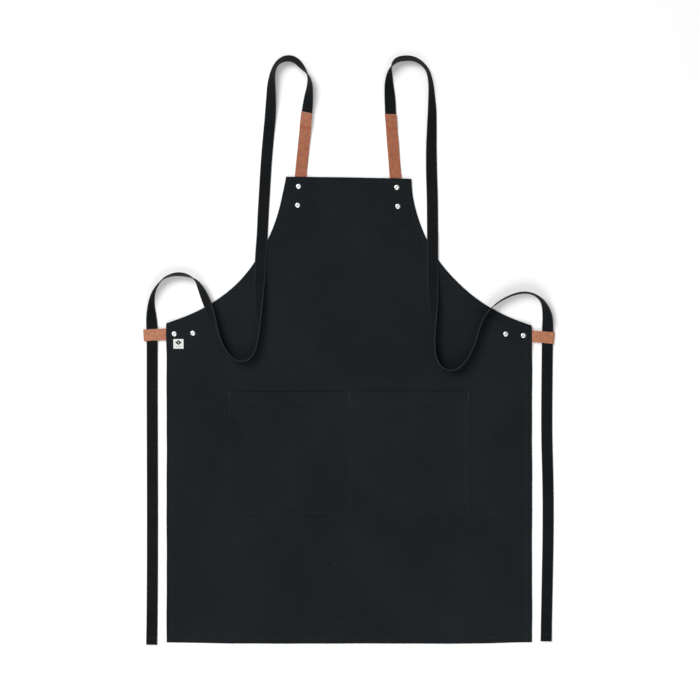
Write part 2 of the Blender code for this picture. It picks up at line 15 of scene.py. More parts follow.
import bpy
import numpy as np
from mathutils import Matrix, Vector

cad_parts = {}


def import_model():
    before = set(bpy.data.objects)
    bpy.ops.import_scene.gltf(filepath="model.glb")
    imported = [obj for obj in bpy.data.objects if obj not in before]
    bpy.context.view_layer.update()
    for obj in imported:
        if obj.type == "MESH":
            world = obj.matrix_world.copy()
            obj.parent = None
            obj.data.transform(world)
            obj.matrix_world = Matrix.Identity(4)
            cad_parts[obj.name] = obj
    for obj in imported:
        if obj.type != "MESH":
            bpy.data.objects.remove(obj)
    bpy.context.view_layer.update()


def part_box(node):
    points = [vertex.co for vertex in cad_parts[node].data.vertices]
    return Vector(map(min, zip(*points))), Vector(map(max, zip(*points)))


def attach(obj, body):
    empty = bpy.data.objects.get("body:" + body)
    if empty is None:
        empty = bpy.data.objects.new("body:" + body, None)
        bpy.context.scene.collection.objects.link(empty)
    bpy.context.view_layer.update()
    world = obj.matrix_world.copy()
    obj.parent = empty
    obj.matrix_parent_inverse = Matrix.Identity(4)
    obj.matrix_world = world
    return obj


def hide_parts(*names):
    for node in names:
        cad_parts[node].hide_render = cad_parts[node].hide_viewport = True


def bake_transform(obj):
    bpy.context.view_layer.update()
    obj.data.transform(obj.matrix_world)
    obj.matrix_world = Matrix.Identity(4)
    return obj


LOG = logging.getLogger("bib_apron")

Array = np.ndarray
HeightField = Callable[[Array, Array], Array]


class Side(Enum):
    """Which half of the apron a piece belongs to; the value is the sign of its x."""

    LEFT = -1
    RIGHT = 1

    @property
    def label(self) -> str:
        """The word that starts the names of this side's pieces."""
        return self.name.lower()


class Socket(Enum):
    """Kinds of socket on a shader group."""

    VALUE = "NodeSocketFloat"
    VECTOR = "NodeSocketVector"
    COLOUR = "NodeSocketColor"


# ------------------------------------------------------------------ levels and shared sizes
GAP = 0.0003
LEATHER_THICKNESS = 0.0014
LEATHER_WIDTH = 0.0226
LEATHER_LEVEL = 0.0011
SHOULDER_LIFT = LEATHER_LEVEL + LEATHER_THICKNESS + GAP
LOOP_LIFT = LEATHER_LEVEL + 2.0 * LEATHER_THICKNESS + GAP
IN_LOOP = LEATHER_THICKNESS + GAP
FOLD_Y = 0.3903
CONTACT = 0.00008


# ------------------------------------------------------------------ numbers on arrays
def smooth_step(value: Array, low: float, high: float) -> Array:
    """0 below low, 1 above high and 3t^2 - 2t^3 between.

    Args:
        value: numbers to ramp.
        low: where the ramp starts.
        high: where the ramp is complete.

    Returns:
        The ramped numbers.
    """
    t = np.clip((np.asarray(value, float) - low) / (high - low), 0.0, 1.0)
    return t * t * (3.0 - 2.0 * t)


def hump(value: Array, centre: float, width: float) -> Array:
    """A bell curve, exp(-((value - centre) / width)^2)."""
    return np.exp(-(((np.asarray(value, float) - centre) / width) ** 2))


def smoothed(values: Array, sigma: float) -> Array:
    """Rows averaged along the first axis with a bell weight; both ends stay where they are.

    Args:
        values: one row per step along a line.
        sigma: width of the bell, in steps.

    Returns:
        The averaged rows.
    """
    if sigma < 0.3:
        return values
    reach = max(1, min(int(3.0 * sigma), len(values) - 1))
    weights = hump(np.arange(-reach, reach + 1), 0.0, sigma * math.sqrt(2.0))
    weights /= weights.sum()
    before = 2.0 * values[0] - values[reach:0:-1]
    after = 2.0 * values[-1] - values[-2:-reach - 2:-1]
    padded = np.concatenate([before, values, after])
    if values.ndim == 1:
        return np.convolve(padded, weights, "valid")
    columns = [np.convolve(column, weights, "valid") for column in padded.T]
    return np.stack(columns, axis=1)


def highest_near(values: Array, reach: int) -> Array:
    """The highest of each number's neighbours within reach steps."""
    padded = np.pad(values, reach, mode="edge")
    windows = np.lib.stride_tricks.sliding_window_view(padded, 2 * reach + 1)
    return windows.max(axis=1)


def lengths_along(points: Array) -> Array:
    """Distance from the first point to each point along the line through them."""
    steps = np.linalg.norm(np.diff(points, axis=0), axis=1)
    return np.concatenate([[0.0], np.cumsum(steps)])


def resampled(points: Array, along: Array, stations: Array) -> Array:
    """Every column of points read off at the given stations along the line."""
    columns = [np.interp(stations, along, column) for column in points.T]
    return np.stack(columns, axis=1)


def even_stations(length: float, step: float) -> Array:
    """Stations from 0 to length, about one step apart."""
    return np.linspace(0.0, length, max(2, round(length / step) + 1))


def catmull_rom(points: Array, per_span: int) -> Array:
    """A curve through every point, each span a cubic that also heeds its neighbours.

    Args:
        points: one row per knot, any number of columns.
        per_span: samples in each span.

    Returns:
        The samples and the last knot.
    """
    padded = np.concatenate([points[:1], points, points[-1:]])
    a, b, c, d = padded[:-3], padded[1:-2], padded[2:-1], padded[3:]
    t = (np.arange(per_span) / per_span)[None, :, None]
    a, b, c, d = (knots[:, None, :] for knots in (a, b, c, d))
    bend = 2.0 * a - 5.0 * b + 4.0 * c - d
    twist = 3.0 * b - a - 3.0 * c + d
    curve = 0.5 * (2.0 * b + (c - a) * t + bend * t**2 + twist * t**3)
    return np.concatenate([curve.reshape(-1, points.shape[1]), points[-1:]])


# ------------------------------------------------------------------ meshes
def quad_grid(rows: int, columns: int, closed: bool = False) -> Array:
    """Corner numbers of the quads on a grid of points stored row by row.

    Args:
        rows: number of rows.
        columns: number of points in a row.
        closed: whether each row's last point joins its first.

    Returns:
        One row of four corners per quad.
    """
    row = np.arange(rows - 1)[:, None]
    column = np.arange(columns if closed else columns - 1)[None, :]
    after = (column + 1) % columns
    corners = [row * columns + column, row * columns + after]
    corners += [(row + 1) * columns + after, (row + 1) * columns + column]
    return np.stack([c + 0 * (row + column) for c in corners], axis=-1).reshape(-1, 4)


def signed_volume(points: Array, faces: Sequence[Array]) -> float:
    """Six times the volume inside closed faces, above 0 where they point outwards."""
    total = 0.0
    for group in faces:
        first = points[group[:, 0]]
        for k in range(1, group.shape[1] - 1):
            cross = np.cross(points[group[:, k]], points[group[:, k + 1]])
            total += float(np.einsum("ij,ij->", first, cross))
    return total


def mesh_piece(
    name: str,
    points: Array,
    faces: Sequence[Array],
    material: bpy.types.Material,
    uv: Array | None = None,
    masks: dict[str, Array] | None = None,
    crisp_degrees: float = 40.0,
) -> bpy.types.Object:
    """Put arrays into a mesh object at the origin, closed faces pointing outwards.

    Args:
        name: the piece's name.
        points: one row (x, y, z) per vertex.
        faces: arrays of vertex numbers, one array per number of corners.
        material: the piece's finish.
        uv: one row (u, v) per vertex, in metres.
        masks: float attributes by name, one number per vertex.
        crisp_degrees: edges sharper than this stay crisp.

    Returns:
        The new object.
    """
    if signed_volume(points, faces) < 0.0:
        faces = [group[:, ::-1] for group in faces]
    corners = np.concatenate([group.ravel() for group in faces]).astype(np.int32)
    sizes = np.concatenate([np.full(len(group), group.shape[1]) for group in faces])
    starts = np.concatenate([[0], np.cumsum(sizes)[:-1]]).astype(np.int32)
    mesh = bpy.data.meshes.new(name)
    mesh.vertices.add(len(points))
    mesh.vertices.foreach_set("co", points.astype(np.float32).ravel())
    mesh.loops.add(len(corners))
    mesh.loops.foreach_set("vertex_index", corners)
    mesh.polygons.add(len(sizes))
    mesh.polygons.foreach_set("loop_start", starts)
    mesh.polygons.foreach_set("use_smooth", np.ones(len(sizes), bool))
    if uv is not None:
        layer = mesh.uv_layers.new(name="UVMap")
        layer.data.foreach_set("uv", uv[corners].astype(np.float32).ravel())
    for mask_name, values in (masks or {}).items():
        attribute = mesh.attributes.new(mask_name, "FLOAT", "POINT")
        attribute.data.foreach_set("value", values.astype(np.float32))
    mesh.update(calc_edges=True)
    mesh.validate()
    mesh.set_sharp_from_angle(angle=math.radians(crisp_degrees))
    mesh.materials.append(material)
    obj = bpy.data.objects.new(name, mesh)
    bpy.context.scene.collection.objects.link(obj)
    return obj


def strip_frames(centres: Array, rolls: Array) -> tuple[Array, Array]:
    """Across and upward directions of a strip at each of its centres.

    The level left of the way it runs is Z x T, its partner is T x (Z x T); the roll turns the
    across direction from the first towards the second.

    Args:
        centres: points along the strip.
        rolls: roll at each point, in radians.

    Returns:
        Unit across and unit face directions.
    """
    tangents = np.gradient(centres, axis=0)
    tangents /= np.linalg.norm(tangents, axis=1, keepdims=True)
    level = np.cross((0.0, 0.0, 1.0), tangents)
    level /= np.linalg.norm(level, axis=1, keepdims=True)
    partner = np.cross(tangents, level)
    across = np.cos(rolls)[:, None] * level + np.sin(rolls)[:, None] * partner
    return across, np.cross(tangents, across)


def flat_section(width: float, thickness: float, edge: float) -> Array:
    """A strip's cross-section: two flat faces joined by rounded edges.

    Half the thickness at distance a from the middle is T/2 sqrt(1 - ((a - a0) / edge)^2)
    beyond a0 = width/2 - edge, and T/2 inside it.

    Args:
        width: full width.
        thickness: full thickness.
        edge: run over which each edge rounds off.

    Returns:
        Rows (across, up) round the section.
    """
    half = width / 2.0
    shares = np.array([0.0, 0.3, 0.6, 0.8, 0.92, 0.985])
    spread = np.concatenate([[0.0, 0.35, 0.68, 0.88], [0.96]]) * (half - edge)
    turn = half - edge + edge * np.sin(shares[1:] * math.pi / 2.0)
    right = np.concatenate([spread, turn, [half]])
    beyond = np.clip((right - (half - edge)) / edge, 0.0, 1.0)
    height = thickness / 2.0 * np.sqrt(1.0 - beyond**2)
    upper = np.concatenate([np.stack([-right[::-1], height[::-1]], 1), np.stack([right, height], 1)[1:]])
    lower = np.stack([upper[-2:0:-1, 0], -upper[-2:0:-1, 1]], 1)
    return np.concatenate([upper, lower])


def swept(centres: Array, across: Array, face: Array, section: Array) -> Array:
    """Vertices of a section carried along a line: centre + a * across + b * face.

    Args:
        centres: one point per ring.
        across: unit across direction per ring.
        face: unit face direction per ring.
        section: rows (a, b), one set for all rings or one per ring.

    Returns:
        An array rings x section x 3.
    """
    if section.ndim == 2:
        section = np.broadcast_to(section, (len(centres), *section.shape))
    side = section[..., 0:1] * across[:, None, :]
    return centres[:, None, :] + side + section[..., 1:2] * face[:, None, :]


def tube_faces(rings: int, around: int) -> list[Array]:
    """Quads along a swept section and one flat cap at each end."""
    first = np.arange(around)[None, ::-1]
    last = (rings - 1) * around + np.arange(around)[None, :]
    return [quad_grid(rings, around, closed=True), first, last]


def strip_uv(section: Array, stations: Array) -> Array:
    """Flat place of each swept vertex: how far across and along the strip, in metres."""
    across, along = np.broadcast_arrays(section[None, :, 0], stations[:, None])
    return np.stack([across, along], -1)


def poled_faces(rings: int, around: int) -> list[Array]:
    """Quads along closed rings, and a fan at each end to a pole stored after the rings."""
    count = rings * around
    step = np.arange(around)
    after = (step + 1) % around
    start = np.stack([np.full(around, count), after, step], 1)
    base = count - around
    end = np.stack([np.full(around, count + 1), base + step, base + after], 1)
    return [quad_grid(rings, around, closed=True), np.concatenate([start, end])]


def turned(profile: Array, centre: Sequence[float], segments: int) -> tuple[Array, list[Array]]:
    """A profile of (radius, height) turned about an upright axis; radius 0 closes the ends.

    Args:
        profile: rows (radius, height) whose first and last radius are 0.
        centre: the axis's foot.
        segments: steps round the axis.

    Returns:
        Vertices and faces.
    """
    angles = np.arange(segments) * 2.0 * math.pi / segments
    ring = np.stack([np.cos(angles), np.sin(angles)], 1)
    body = profile[1:-1]
    walls = np.empty((len(body), segments, 3))
    walls[..., :2] = body[:, None, 0:1] * ring[None]
    walls[..., 2] = body[:, None, 1]
    poles = np.array([[0.0, 0.0, profile[0, 1]], [0.0, 0.0, profile[-1, 1]]])
    points = np.concatenate([walls.reshape(-1, 3), poles]) + np.asarray(centre)
    return points, poled_faces(len(body), segments)


def sheet_piece(
    name: str,
    placed: Array,
    flat: Array,
    surfaces: tuple[Array, Array],
    material: bpy.types.Material,
    masks: dict[str, Array] | None = None,
    crisp_degrees: float = 50.0,
) -> bpy.types.Object:
    """A closed sheet: a face and a back that share the vertices along the edge.

    Args:
        name: the piece's name.
        placed: places in the plane, rows x columns x 2.
        flat: the same places on the flat cloth, in metres.
        surfaces: heights of the face and the back.
        material: the piece's finish.
        masks: float attributes by name, one number per place.
        crisp_degrees: edges sharper than this stay crisp.

    Returns:
        The new object.
    """
    rows, columns, _ = placed.shape
    face, back = (np.dstack([placed, height]) for height in surfaces)
    inner = np.zeros((rows, columns), bool)
    inner[1:-1, 1:-1] = True
    back_numbers = np.arange(rows * columns).reshape(rows, columns)
    back_numbers[inner] = rows * columns + np.arange(inner.sum())
    quads = quad_grid(rows, columns)
    faces = [quads, back_numbers.ravel()[quads][:, ::-1]]
    points = np.concatenate([face.reshape(-1, 3), back[inner]])
    uv = np.concatenate([flat.reshape(-1, 2), flat[inner]])
    doubled = {key: np.concatenate([mask.ravel(), mask[inner]]) for key, mask in (masks or {}).items()}
    return mesh_piece(name, points, faces, material, uv, doubled, crisp_degrees)


def closed_at_rim(upper: Array, lower: Array, inset: Array, radius: float) -> tuple[Array, Array]:
    """Two faces drawn together at a rim: the gap times sqrt(1 - (1 - inset / radius)^2)."""
    out = np.clip(inset / radius, 0.0, 1.0)
    swell = np.sqrt(np.clip(1.0 - (1.0 - out) ** 2, 0.0, 1.0))
    middle = 0.5 * (upper + lower)
    return middle + (upper - middle) * swell, middle + (lower - middle) * swell


def box_inset(low: Array, high: Array, x: Array, y: Array) -> Array:
    """Distance inside the nearest side of an upright rectangle."""
    return np.minimum(np.minimum(x - low[0], high[0] - x), np.minimum(y - low[1], high[1] - y))


# ------------------------------------------------------------------ shader helpers
class Graph:
    """A node tree with short calls for nodes, links and sums."""

    def __init__(self, tree: bpy.types.NodeTree) -> None:
        """Keep the tree that the calls add to."""
        self.tree = tree

    def add(self, kind: str, **settings: object) -> bpy.types.Node:
        """A node of the given kind with its properties set."""
        node = self.tree.nodes.new(f"ShaderNode{kind}")
        for key, value in settings.items():
            setattr(node, key, value)
        return node

    def feed(self, socket: bpy.types.NodeSocket, value: object) -> None:
        """Link a socket into another, or set a plain value on it."""
        if isinstance(value, bpy.types.NodeSocket):
            self.tree.links.new(value, socket)
        else:
            socket.default_value = value

    def calc(self, operation: str, *values: object, clamp: bool = False) -> bpy.types.NodeSocket:
        """A Math node's result."""
        node = self.add("Math", operation=operation, use_clamp=clamp)
        for socket, value in zip(node.inputs, values):
            self.feed(socket, value)
        return node.outputs[0]

    def times(self, first: object, second: object) -> bpy.types.NodeSocket:
        """The product of two numbers."""
        return self.calc("MULTIPLY", first, second)

    def plus(self, first: object, second: object) -> bpy.types.NodeSocket:
        """The sum of two numbers."""
        return self.calc("ADD", first, second)

    def fused(self, value: object, factor: object, more: object, clamp: bool = False) -> bpy.types.NodeSocket:
        """value * factor + more."""
        return self.calc("MULTIPLY_ADD", value, factor, more, clamp=clamp)

    def wave(self, value: object, period: float) -> bpy.types.NodeSocket:
        """sin(2 pi value / period)."""
        return self.calc("SINE", self.times(value, 2.0 * math.pi / period))

    def mask(self, name: str) -> bpy.types.NodeSocket:
        """One of the mesh's float attributes."""
        return self.add("Attribute", attribute_name=name).outputs["Fac"]

    def span(self, value: object, low: float, high: float) -> bpy.types.NodeSocket:
        """0 at low, 1 at high, smooth between; high may be the lower of the two."""
        node = self.add("MapRange", interpolation_type="SMOOTHSTEP")
        settings = (value, min(low, high), max(low, high), float(low > high), float(low <= high))
        for socket, given in zip(node.inputs, settings):
            self.feed(socket, given)
        return node.outputs[0]

    def blend(self, share: object, first: object, second: object, mode: str = "MIX") -> bpy.types.NodeSocket:
        """Two colours mixed by a share."""
        node = self.add("Mix", data_type="RGBA", blend_type=mode, clamp_factor=True)
        self.feed(node.inputs[0], share)
        self.feed(node.inputs[6], first)
        self.feed(node.inputs[7], second)
        return node.outputs[2]

    def noise(
        self, vector: object, scale: object, detail: float = 2.0, rough: float = 0.5
    ) -> bpy.types.NodeSocket:
        """Fractal noise from 0 to 1."""
        node = self.add("TexNoise")
        self.feed(node.inputs["Vector"], vector)
        self.feed(node.inputs["Scale"], scale)
        node.inputs["Detail"].default_value = detail
        node.inputs["Roughness"].default_value = rough
        return node.outputs[0]

    def scaled(self, vector: object, factors: Sequence[float]) -> bpy.types.NodeSocket:
        """A vector multiplied part by part."""
        node = self.add("VectorMath", operation="MULTIPLY")
        self.feed(node.inputs[0], vector)
        node.inputs[1].default_value = tuple(factors)
        return node.outputs[0]

    def parts(self, vector: object) -> list[bpy.types.NodeSocket]:
        """A vector's x, y and z."""
        node = self.add("SeparateXYZ")
        self.feed(node.inputs[0], vector)
        return list(node.outputs)


class GroupShelf:
    """Shader groups that several finishes share, each built once."""

    def __init__(self) -> None:
        """Start with no groups."""
        self.made: dict[str, bpy.types.NodeTree] = {}

    def use(self, graph: Graph, name: str, **inputs: object) -> bpy.types.Node:
        """Place a group in a graph, build it on first use, and feed its inputs.

        Args:
            graph: where the group goes.
            name: one of this class's builder methods.
            inputs: values or sockets by input name.

        Returns:
            The group node.
        """
        if name not in self.made:
            self.made[name] = getattr(self, name)()
        node = graph.add("Group", node_tree=self.made[name])
        for key, value in inputs.items():
            graph.feed(node.inputs[key], value)
        return node

    def new(
        self, name: str, inputs: dict[str, Socket], outputs: dict[str, Socket]
    ) -> tuple[Graph, bpy.types.Node, bpy.types.Node]:
        """An empty group with its sockets, and its input and output nodes."""
        tree = bpy.data.node_groups.new(name, "ShaderNodeTree")
        for key, kind in inputs.items():
            tree.interface.new_socket(key, in_out="INPUT", socket_type=kind.value)
        for key, kind in outputs.items():
            tree.interface.new_socket(key, in_out="OUTPUT", socket_type=kind.value)
        graph = Graph(tree)
        return graph, tree.nodes.new("NodeGroupInput"), tree.nodes.new("NodeGroupOutput")

    def plain_weave(self) -> bpy.types.NodeTree:
        """Over and under threads, sin(pi x / p) sin(pi y / p), with slubs along both ways."""
        graph, given, made = self.new(
            "plain_weave",
            {"Place": Socket.VECTOR, "Pitch": Socket.VALUE},
            {"Height": Socket.VALUE, "Slub": Socket.VALUE},
        )
        place = given.outputs["Place"]
        x, y, _ = graph.parts(place)
        turns = graph.calc("DIVIDE", math.pi, given.outputs["Pitch"])
        across = graph.calc("SINE", graph.times(x, turns))
        along = graph.calc("SINE", graph.times(y, turns))
        crossing = graph.times(across, along)
        warp = graph.noise(graph.scaled(place, (620.0, 24.0, 20.0)), 1.0, 2.0)
        weft = graph.noise(graph.scaled(place, (24.0, 620.0, 20.0)), 1.0, 2.0)
        slub = graph.times(graph.plus(warp, weft), 0.5)
        height = graph.fused(crossing, 0.34, 0.5)
        height = graph.fused(graph.calc("SUBTRACT", slub, 0.5), 1.3, height)
        graph.feed(made.inputs["Height"], height)
        graph.feed(made.inputs["Slub"], slub)
        return graph.tree

    def chevron_rib(self) -> bpy.types.NodeTree:
        """Webbing face: ribs that zigzag across the width, with plain ribs at the selvedges."""
        graph, given, made = self.new(
            "chevron_rib",
            {"Place": Socket.VECTOR, "Half Width": Socket.VALUE},
            {"Height": Socket.VALUE, "Selvedge": Socket.VALUE},
        )
        u, v, _ = graph.parts(given.outputs["Place"])
        zigzag = graph.calc("PINGPONG", graph.plus(u, 1.0), 0.0035)
        rib = graph.wave(graph.plus(v, graph.times(zigzag, 1.1)), 0.0016)
        warp = graph.wave(u, 0.0009)
        rim = graph.calc("SUBTRACT", given.outputs["Half Width"], graph.calc("ABSOLUTE", u))
        selvedge = graph.span(rim, 0.0016, 0.0007)
        inner = graph.fused(rib, 0.32, graph.fused(warp, 0.12, 0.5))
        outer = graph.fused(graph.wave(v, 0.0011), 0.25, 0.62)
        inner_part = graph.times(inner, graph.calc("SUBTRACT", 1.0, selvedge))
        mixed = graph.plus(inner_part, graph.times(outer, selvedge))
        graph.feed(made.inputs["Height"], mixed)
        graph.feed(made.inputs["Selvedge"], selvedge)
        return graph.tree

    def hide_grain(self) -> bpy.types.NodeTree:
        """Leather grain: pebbles between fine creases, pores, and slow mottling."""
        graph, given, made = self.new(
            "hide_grain",
            {"Place": Socket.VECTOR, "Scale": Socket.VALUE},
            dict.fromkeys(("Height", "Crease", "Mottle", "Fibre"), Socket.VALUE),
        )
        place, scale = given.outputs["Place"], given.outputs["Scale"]
        cells = graph.add("TexVoronoi", feature="DISTANCE_TO_EDGE")
        graph.feed(cells.inputs["Vector"], place)
        graph.feed(cells.inputs["Scale"], scale)
        crease = graph.span(cells.outputs["Distance"], 0.14, 0.0)
        pores = graph.noise(place, graph.times(scale, 2.4), 3.0, 0.6)
        mottle = graph.noise(place, graph.times(scale, 0.22), 5.0, 0.66)
        drawn = graph.scaled(place, (1.0, 0.12, 1.0))
        fibre = graph.noise(drawn, graph.times(scale, 1.2), 3.0, 0.6)
        height = graph.fused(crease, -0.55, graph.fused(pores, 0.5, 0.45))
        graph.feed(made.inputs["Height"], height)
        graph.feed(made.inputs["Crease"], crease)
        graph.feed(made.inputs["Mottle"], mottle)
        graph.feed(made.inputs["Fibre"], fibre)
        return graph.tree

    def handling(self) -> bpy.types.NodeTree:
        """Soft cloudy variation and sparse lint, as on cloth that has been handled."""
        graph, given, made = self.new(
            "handling",
            {"Place": Socket.VECTOR, "Cloud Scale": Socket.VALUE},
            {"Cloud": Socket.VALUE, "Lint": Socket.VALUE},
        )
        place = given.outputs["Place"]
        cloud = graph.noise(place, given.outputs["Cloud Scale"], 4.0, 0.55)
        specks = graph.add("TexVoronoi", feature="F1")
        graph.feed(specks.inputs["Vector"], graph.scaled(place, (1.0, 0.45, 1.0)))
        specks.inputs["Scale"].default_value = 95.0
        near = graph.span(specks.outputs["Distance"], 0.10, 0.02)
        rare = graph.span(graph.noise(place, 23.0, 2.0), 0.60, 0.72)
        graph.feed(made.inputs["Cloud"], graph.span(cloud, 0.28, 0.72))
        graph.feed(made.inputs["Lint"], graph.times(near, rare))
        return graph.tree


SHELF = GroupShelf()


@dataclass(frozen=True)
class Finish:
    """A Principled material whose colour, roughness and bump the subclasses make."""

    name: str
    colour: tuple[float, float, float]
    roughness: float = 0.8
    sheen: float = 0.0
    sheen_roughness: float = 0.5
    specular: float = 0.5
    metallic: float = 0.0
    bump_depth: float = 0.0001

    def start(self) -> tuple[bpy.types.Material, Graph, bpy.types.Node]:
        """A new material, its graph, and its shader with the plain values set."""
        material = bpy.data.materials.new(self.name)
        material.use_nodes = True
        shader = material.node_tree.nodes["Principled BSDF"]
        shader.inputs["Base Color"].default_value = (*self.colour, 1.0)
        shader.inputs["Roughness"].default_value = self.roughness
        shader.inputs["Metallic"].default_value = self.metallic
        shader.inputs["Specular IOR Level"].default_value = self.specular
        shader.inputs["Sheen Weight"].default_value = self.sheen
        shader.inputs["Sheen Roughness"].default_value = self.sheen_roughness
        return material, Graph(material.node_tree), shader

    def bump(
        self, graph: Graph, shader: bpy.types.Node, height: bpy.types.NodeSocket, strength: float = 1.0
    ) -> None:
        """Drive the shader's normal from a height."""
        node = graph.add("Bump")
        node.inputs["Strength"].default_value = strength
        node.inputs["Distance"].default_value = self.bump_depth
        graph.feed(node.inputs["Height"], height)
        graph.feed(shader.inputs["Normal"], node.outputs["Normal"])

    def tone(self, factor: float) -> tuple[float, float, float, float]:
        """The finish's colour made lighter or darker."""
        return (*(min(1.0, part * factor) for part in self.colour), 1.0)

    def made(self) -> bpy.types.Material:
        """Build the material."""
        raise NotImplementedError


@dataclass(frozen=True)
class CanvasFinish(Finish):
    """Dense cotton canvas: plain weave, slubs, cloudy dye and a little lint."""

    pitch: float = 0.0013
    lint: tuple[float, float, float] = (0.10, 0.11, 0.12)

    def made(self) -> bpy.types.Material:
        """Build the material."""
        material, graph, shader = self.start()
        place = graph.add("TexCoord").outputs["Object"]
        weave = SHELF.use(graph, "plain_weave", Place=place, Pitch=self.pitch)
        wear = SHELF.use(graph, "handling", **{"Place": place, "Cloud Scale": 5.5})
        dyed = graph.blend(wear.outputs["Cloud"], self.tone(0.80), self.tone(1.18))
        thread = graph.span(weave.outputs["Slub"], 0.30, 0.70)
        dyed = graph.blend(graph.times(thread, 0.30), dyed, self.tone(1.75))
        faded = graph.blend(graph.times(self.rubbed(graph), 0.30), dyed, self.tone(2.0))
        linted = graph.blend(graph.times(wear.outputs["Lint"], 0.35), faded, (*self.lint, 1.0))
        graph.feed(shader.inputs["Base Color"], linted)
        rough = graph.fused(weave.outputs["Slub"], 0.14, self.roughness - 0.10, clamp=True)
        graph.feed(shader.inputs["Roughness"], rough)
        self.bump(graph, shader, weave.outputs["Height"])
        return material

    def rubbed(self, graph: Graph) -> bpy.types.NodeSocket:
        """Where the cloth is rubbed pale: its hem ridges and seams."""
        grain = graph.noise(graph.add("TexCoord").outputs["Object"], 260.0, 3.0, 0.7)
        return graph.times(graph.mask("rub"), graph.span(grain, 0.35, 0.70))


@dataclass(frozen=True)
class WebbingFinish(Finish):
    """Cotton webbing: zigzag ribs, bound selvedges painted much lighter as a highlight, and a soft bloom."""

    half_width: float = 0.0106

    def made(self) -> bpy.types.Material:
        """Build the material."""
        material, graph, shader = self.start()
        place = graph.add("UVMap", uv_map="UVMap").outputs["UV"]
        ribs = SHELF.use(graph, "chevron_rib", **{"Place": place, "Half Width": self.half_width})
        flat = graph.scaled(place, (1.0, 1.0, 0.0))
        wear = SHELF.use(graph, "handling", **{"Place": flat, "Cloud Scale": 14.0})
        base = graph.blend(wear.outputs["Cloud"], self.tone(0.82), self.tone(1.2))
        high = graph.span(ribs.outputs["Height"], 0.45, 0.85)
        raised = graph.blend(graph.times(high, 0.4), base, self.tone(1.9))
        # Painted highlight: the selvedges are made five times lighter, standing in for light caught along the
        # strap's edges.
        painted_edge_highlight = graph.blend(graph.times(ribs.outputs["Selvedge"], 0.85), raised, self.tone(5.0))
        graph.feed(shader.inputs["Base Color"], painted_edge_highlight)
        rough = graph.fused(ribs.outputs["Height"], 0.12, self.roughness - 0.06, clamp=True)
        graph.feed(shader.inputs["Roughness"], rough)
        fuzz = graph.noise(flat, 2100.0, 2.0)
        height = graph.fused(fuzz, 0.35, ribs.outputs["Height"])
        self.bump(graph, shader, height)
        return material


@dataclass(frozen=True)
class LeatherFinish(Finish):
    """Vegetable-tanned strip: pebbled grain, mottling, rims darkened by burnishing, painted shade along the
    tabs' cross creases, and pale cut sides.
    """

    cut_side: tuple[float, float, float] = (0.62, 0.33, 0.25)
    rim: tuple[float, float, float] = (0.30, 0.095, 0.05)
    grain_scale: float = 620.0

    def made(self) -> bpy.types.Material:
        """Build the material."""
        material, graph, shader = self.start()
        place = graph.add("UVMap", uv_map="UVMap").outputs["UV"]
        flat = graph.scaled(place, (1.0, 1.0, 0.0))
        hide = SHELF.use(graph, "hide_grain", Place=flat, Scale=self.grain_scale)
        patches = graph.span(hide.outputs["Mottle"], 0.34, 0.66)
        mottled = graph.blend(patches, self.tone(0.78), self.tone(1.22))
        streaks = graph.times(graph.span(hide.outputs["Fibre"], 0.40, 0.75), 0.22)
        streaked = graph.blend(streaks, mottled, self.tone(1.5))
        creased = graph.blend(graph.times(hide.outputs["Crease"], 0.45), streaked, self.tone(0.50))
        # The rim mask also holds the tabs' cross creases, so this darkens them too: painted shade in the
        # creases.
        burnish_and_crease_shade = graph.blend(graph.times(graph.mask("rim"), 0.30), creased, (*self.rim, 1.0))
        side = graph.mask("side")
        dark_side = (*(part * 0.7 for part in self.cut_side), 1.0)
        fibres = graph.blend(graph.span(hide.outputs["Fibre"], 0.3, 0.7), (*self.cut_side, 1.0), dark_side)
        graph.feed(shader.inputs["Base Color"], graph.blend(side, burnish_and_crease_shade, fibres))
        rough = graph.fused(hide.outputs["Mottle"], 0.22, self.roughness - 0.11, clamp=True)
        graph.feed(shader.inputs["Roughness"], graph.fused(side, 0.3, rough, clamp=True))
        self.bump(graph, shader, hide.outputs["Height"])
        return material


@dataclass(frozen=True)
class MetalFinish(Finish):
    """Plated metal with tumble marks; its recesses are rougher and darkened with painted shade."""

    def made(self) -> bpy.types.Material:
        """Build the material."""
        material, graph, shader = self.start()
        place = graph.add("TexCoord").outputs["Object"]
        marks = graph.noise(place, 2600.0, 3.0, 0.7)
        tarnish = graph.noise(place, 420.0, 3.0, 0.6)
        recess = graph.mask("recess")
        bright = graph.blend(graph.span(tarnish, 0.35, 0.75), self.tone(1.0), self.tone(0.86))
        # Painted shade: the recess mask darkens the cap's dimple and the back cap's middle.
        recess_shaded = graph.blend(graph.times(recess, 0.8), bright, self.tone(0.22))
        graph.feed(shader.inputs["Base Color"], recess_shaded)
        adjusted = graph.fused(tarnish, 0.16, self.roughness - 0.06)
        graph.feed(shader.inputs["Roughness"], graph.fused(recess, 0.3, adjusted, clamp=True))
        self.bump(graph, shader, marks, 0.4)
        return material


@dataclass(frozen=True)
class ThreadFinish(Finish):
    """Twisted sewing thread."""

    def made(self) -> bpy.types.Material:
        """Build the material."""
        material, graph, shader = self.start()
        place = graph.add("TexCoord").outputs["Object"]
        x, y, _ = graph.parts(place)
        twist = graph.wave(graph.plus(x, y), 0.0006)
        shade = graph.noise(place, 900.0, 2.0)
        base = graph.blend(graph.span(shade, 0.3, 0.7), self.tone(0.8), self.tone(1.3))
        plied = graph.blend(graph.fused(twist, 0.15, 0.15), base, self.tone(1.6))
        graph.feed(shader.inputs["Base Color"], plied)
        self.bump(graph, shader, twist, 0.6)
        return material


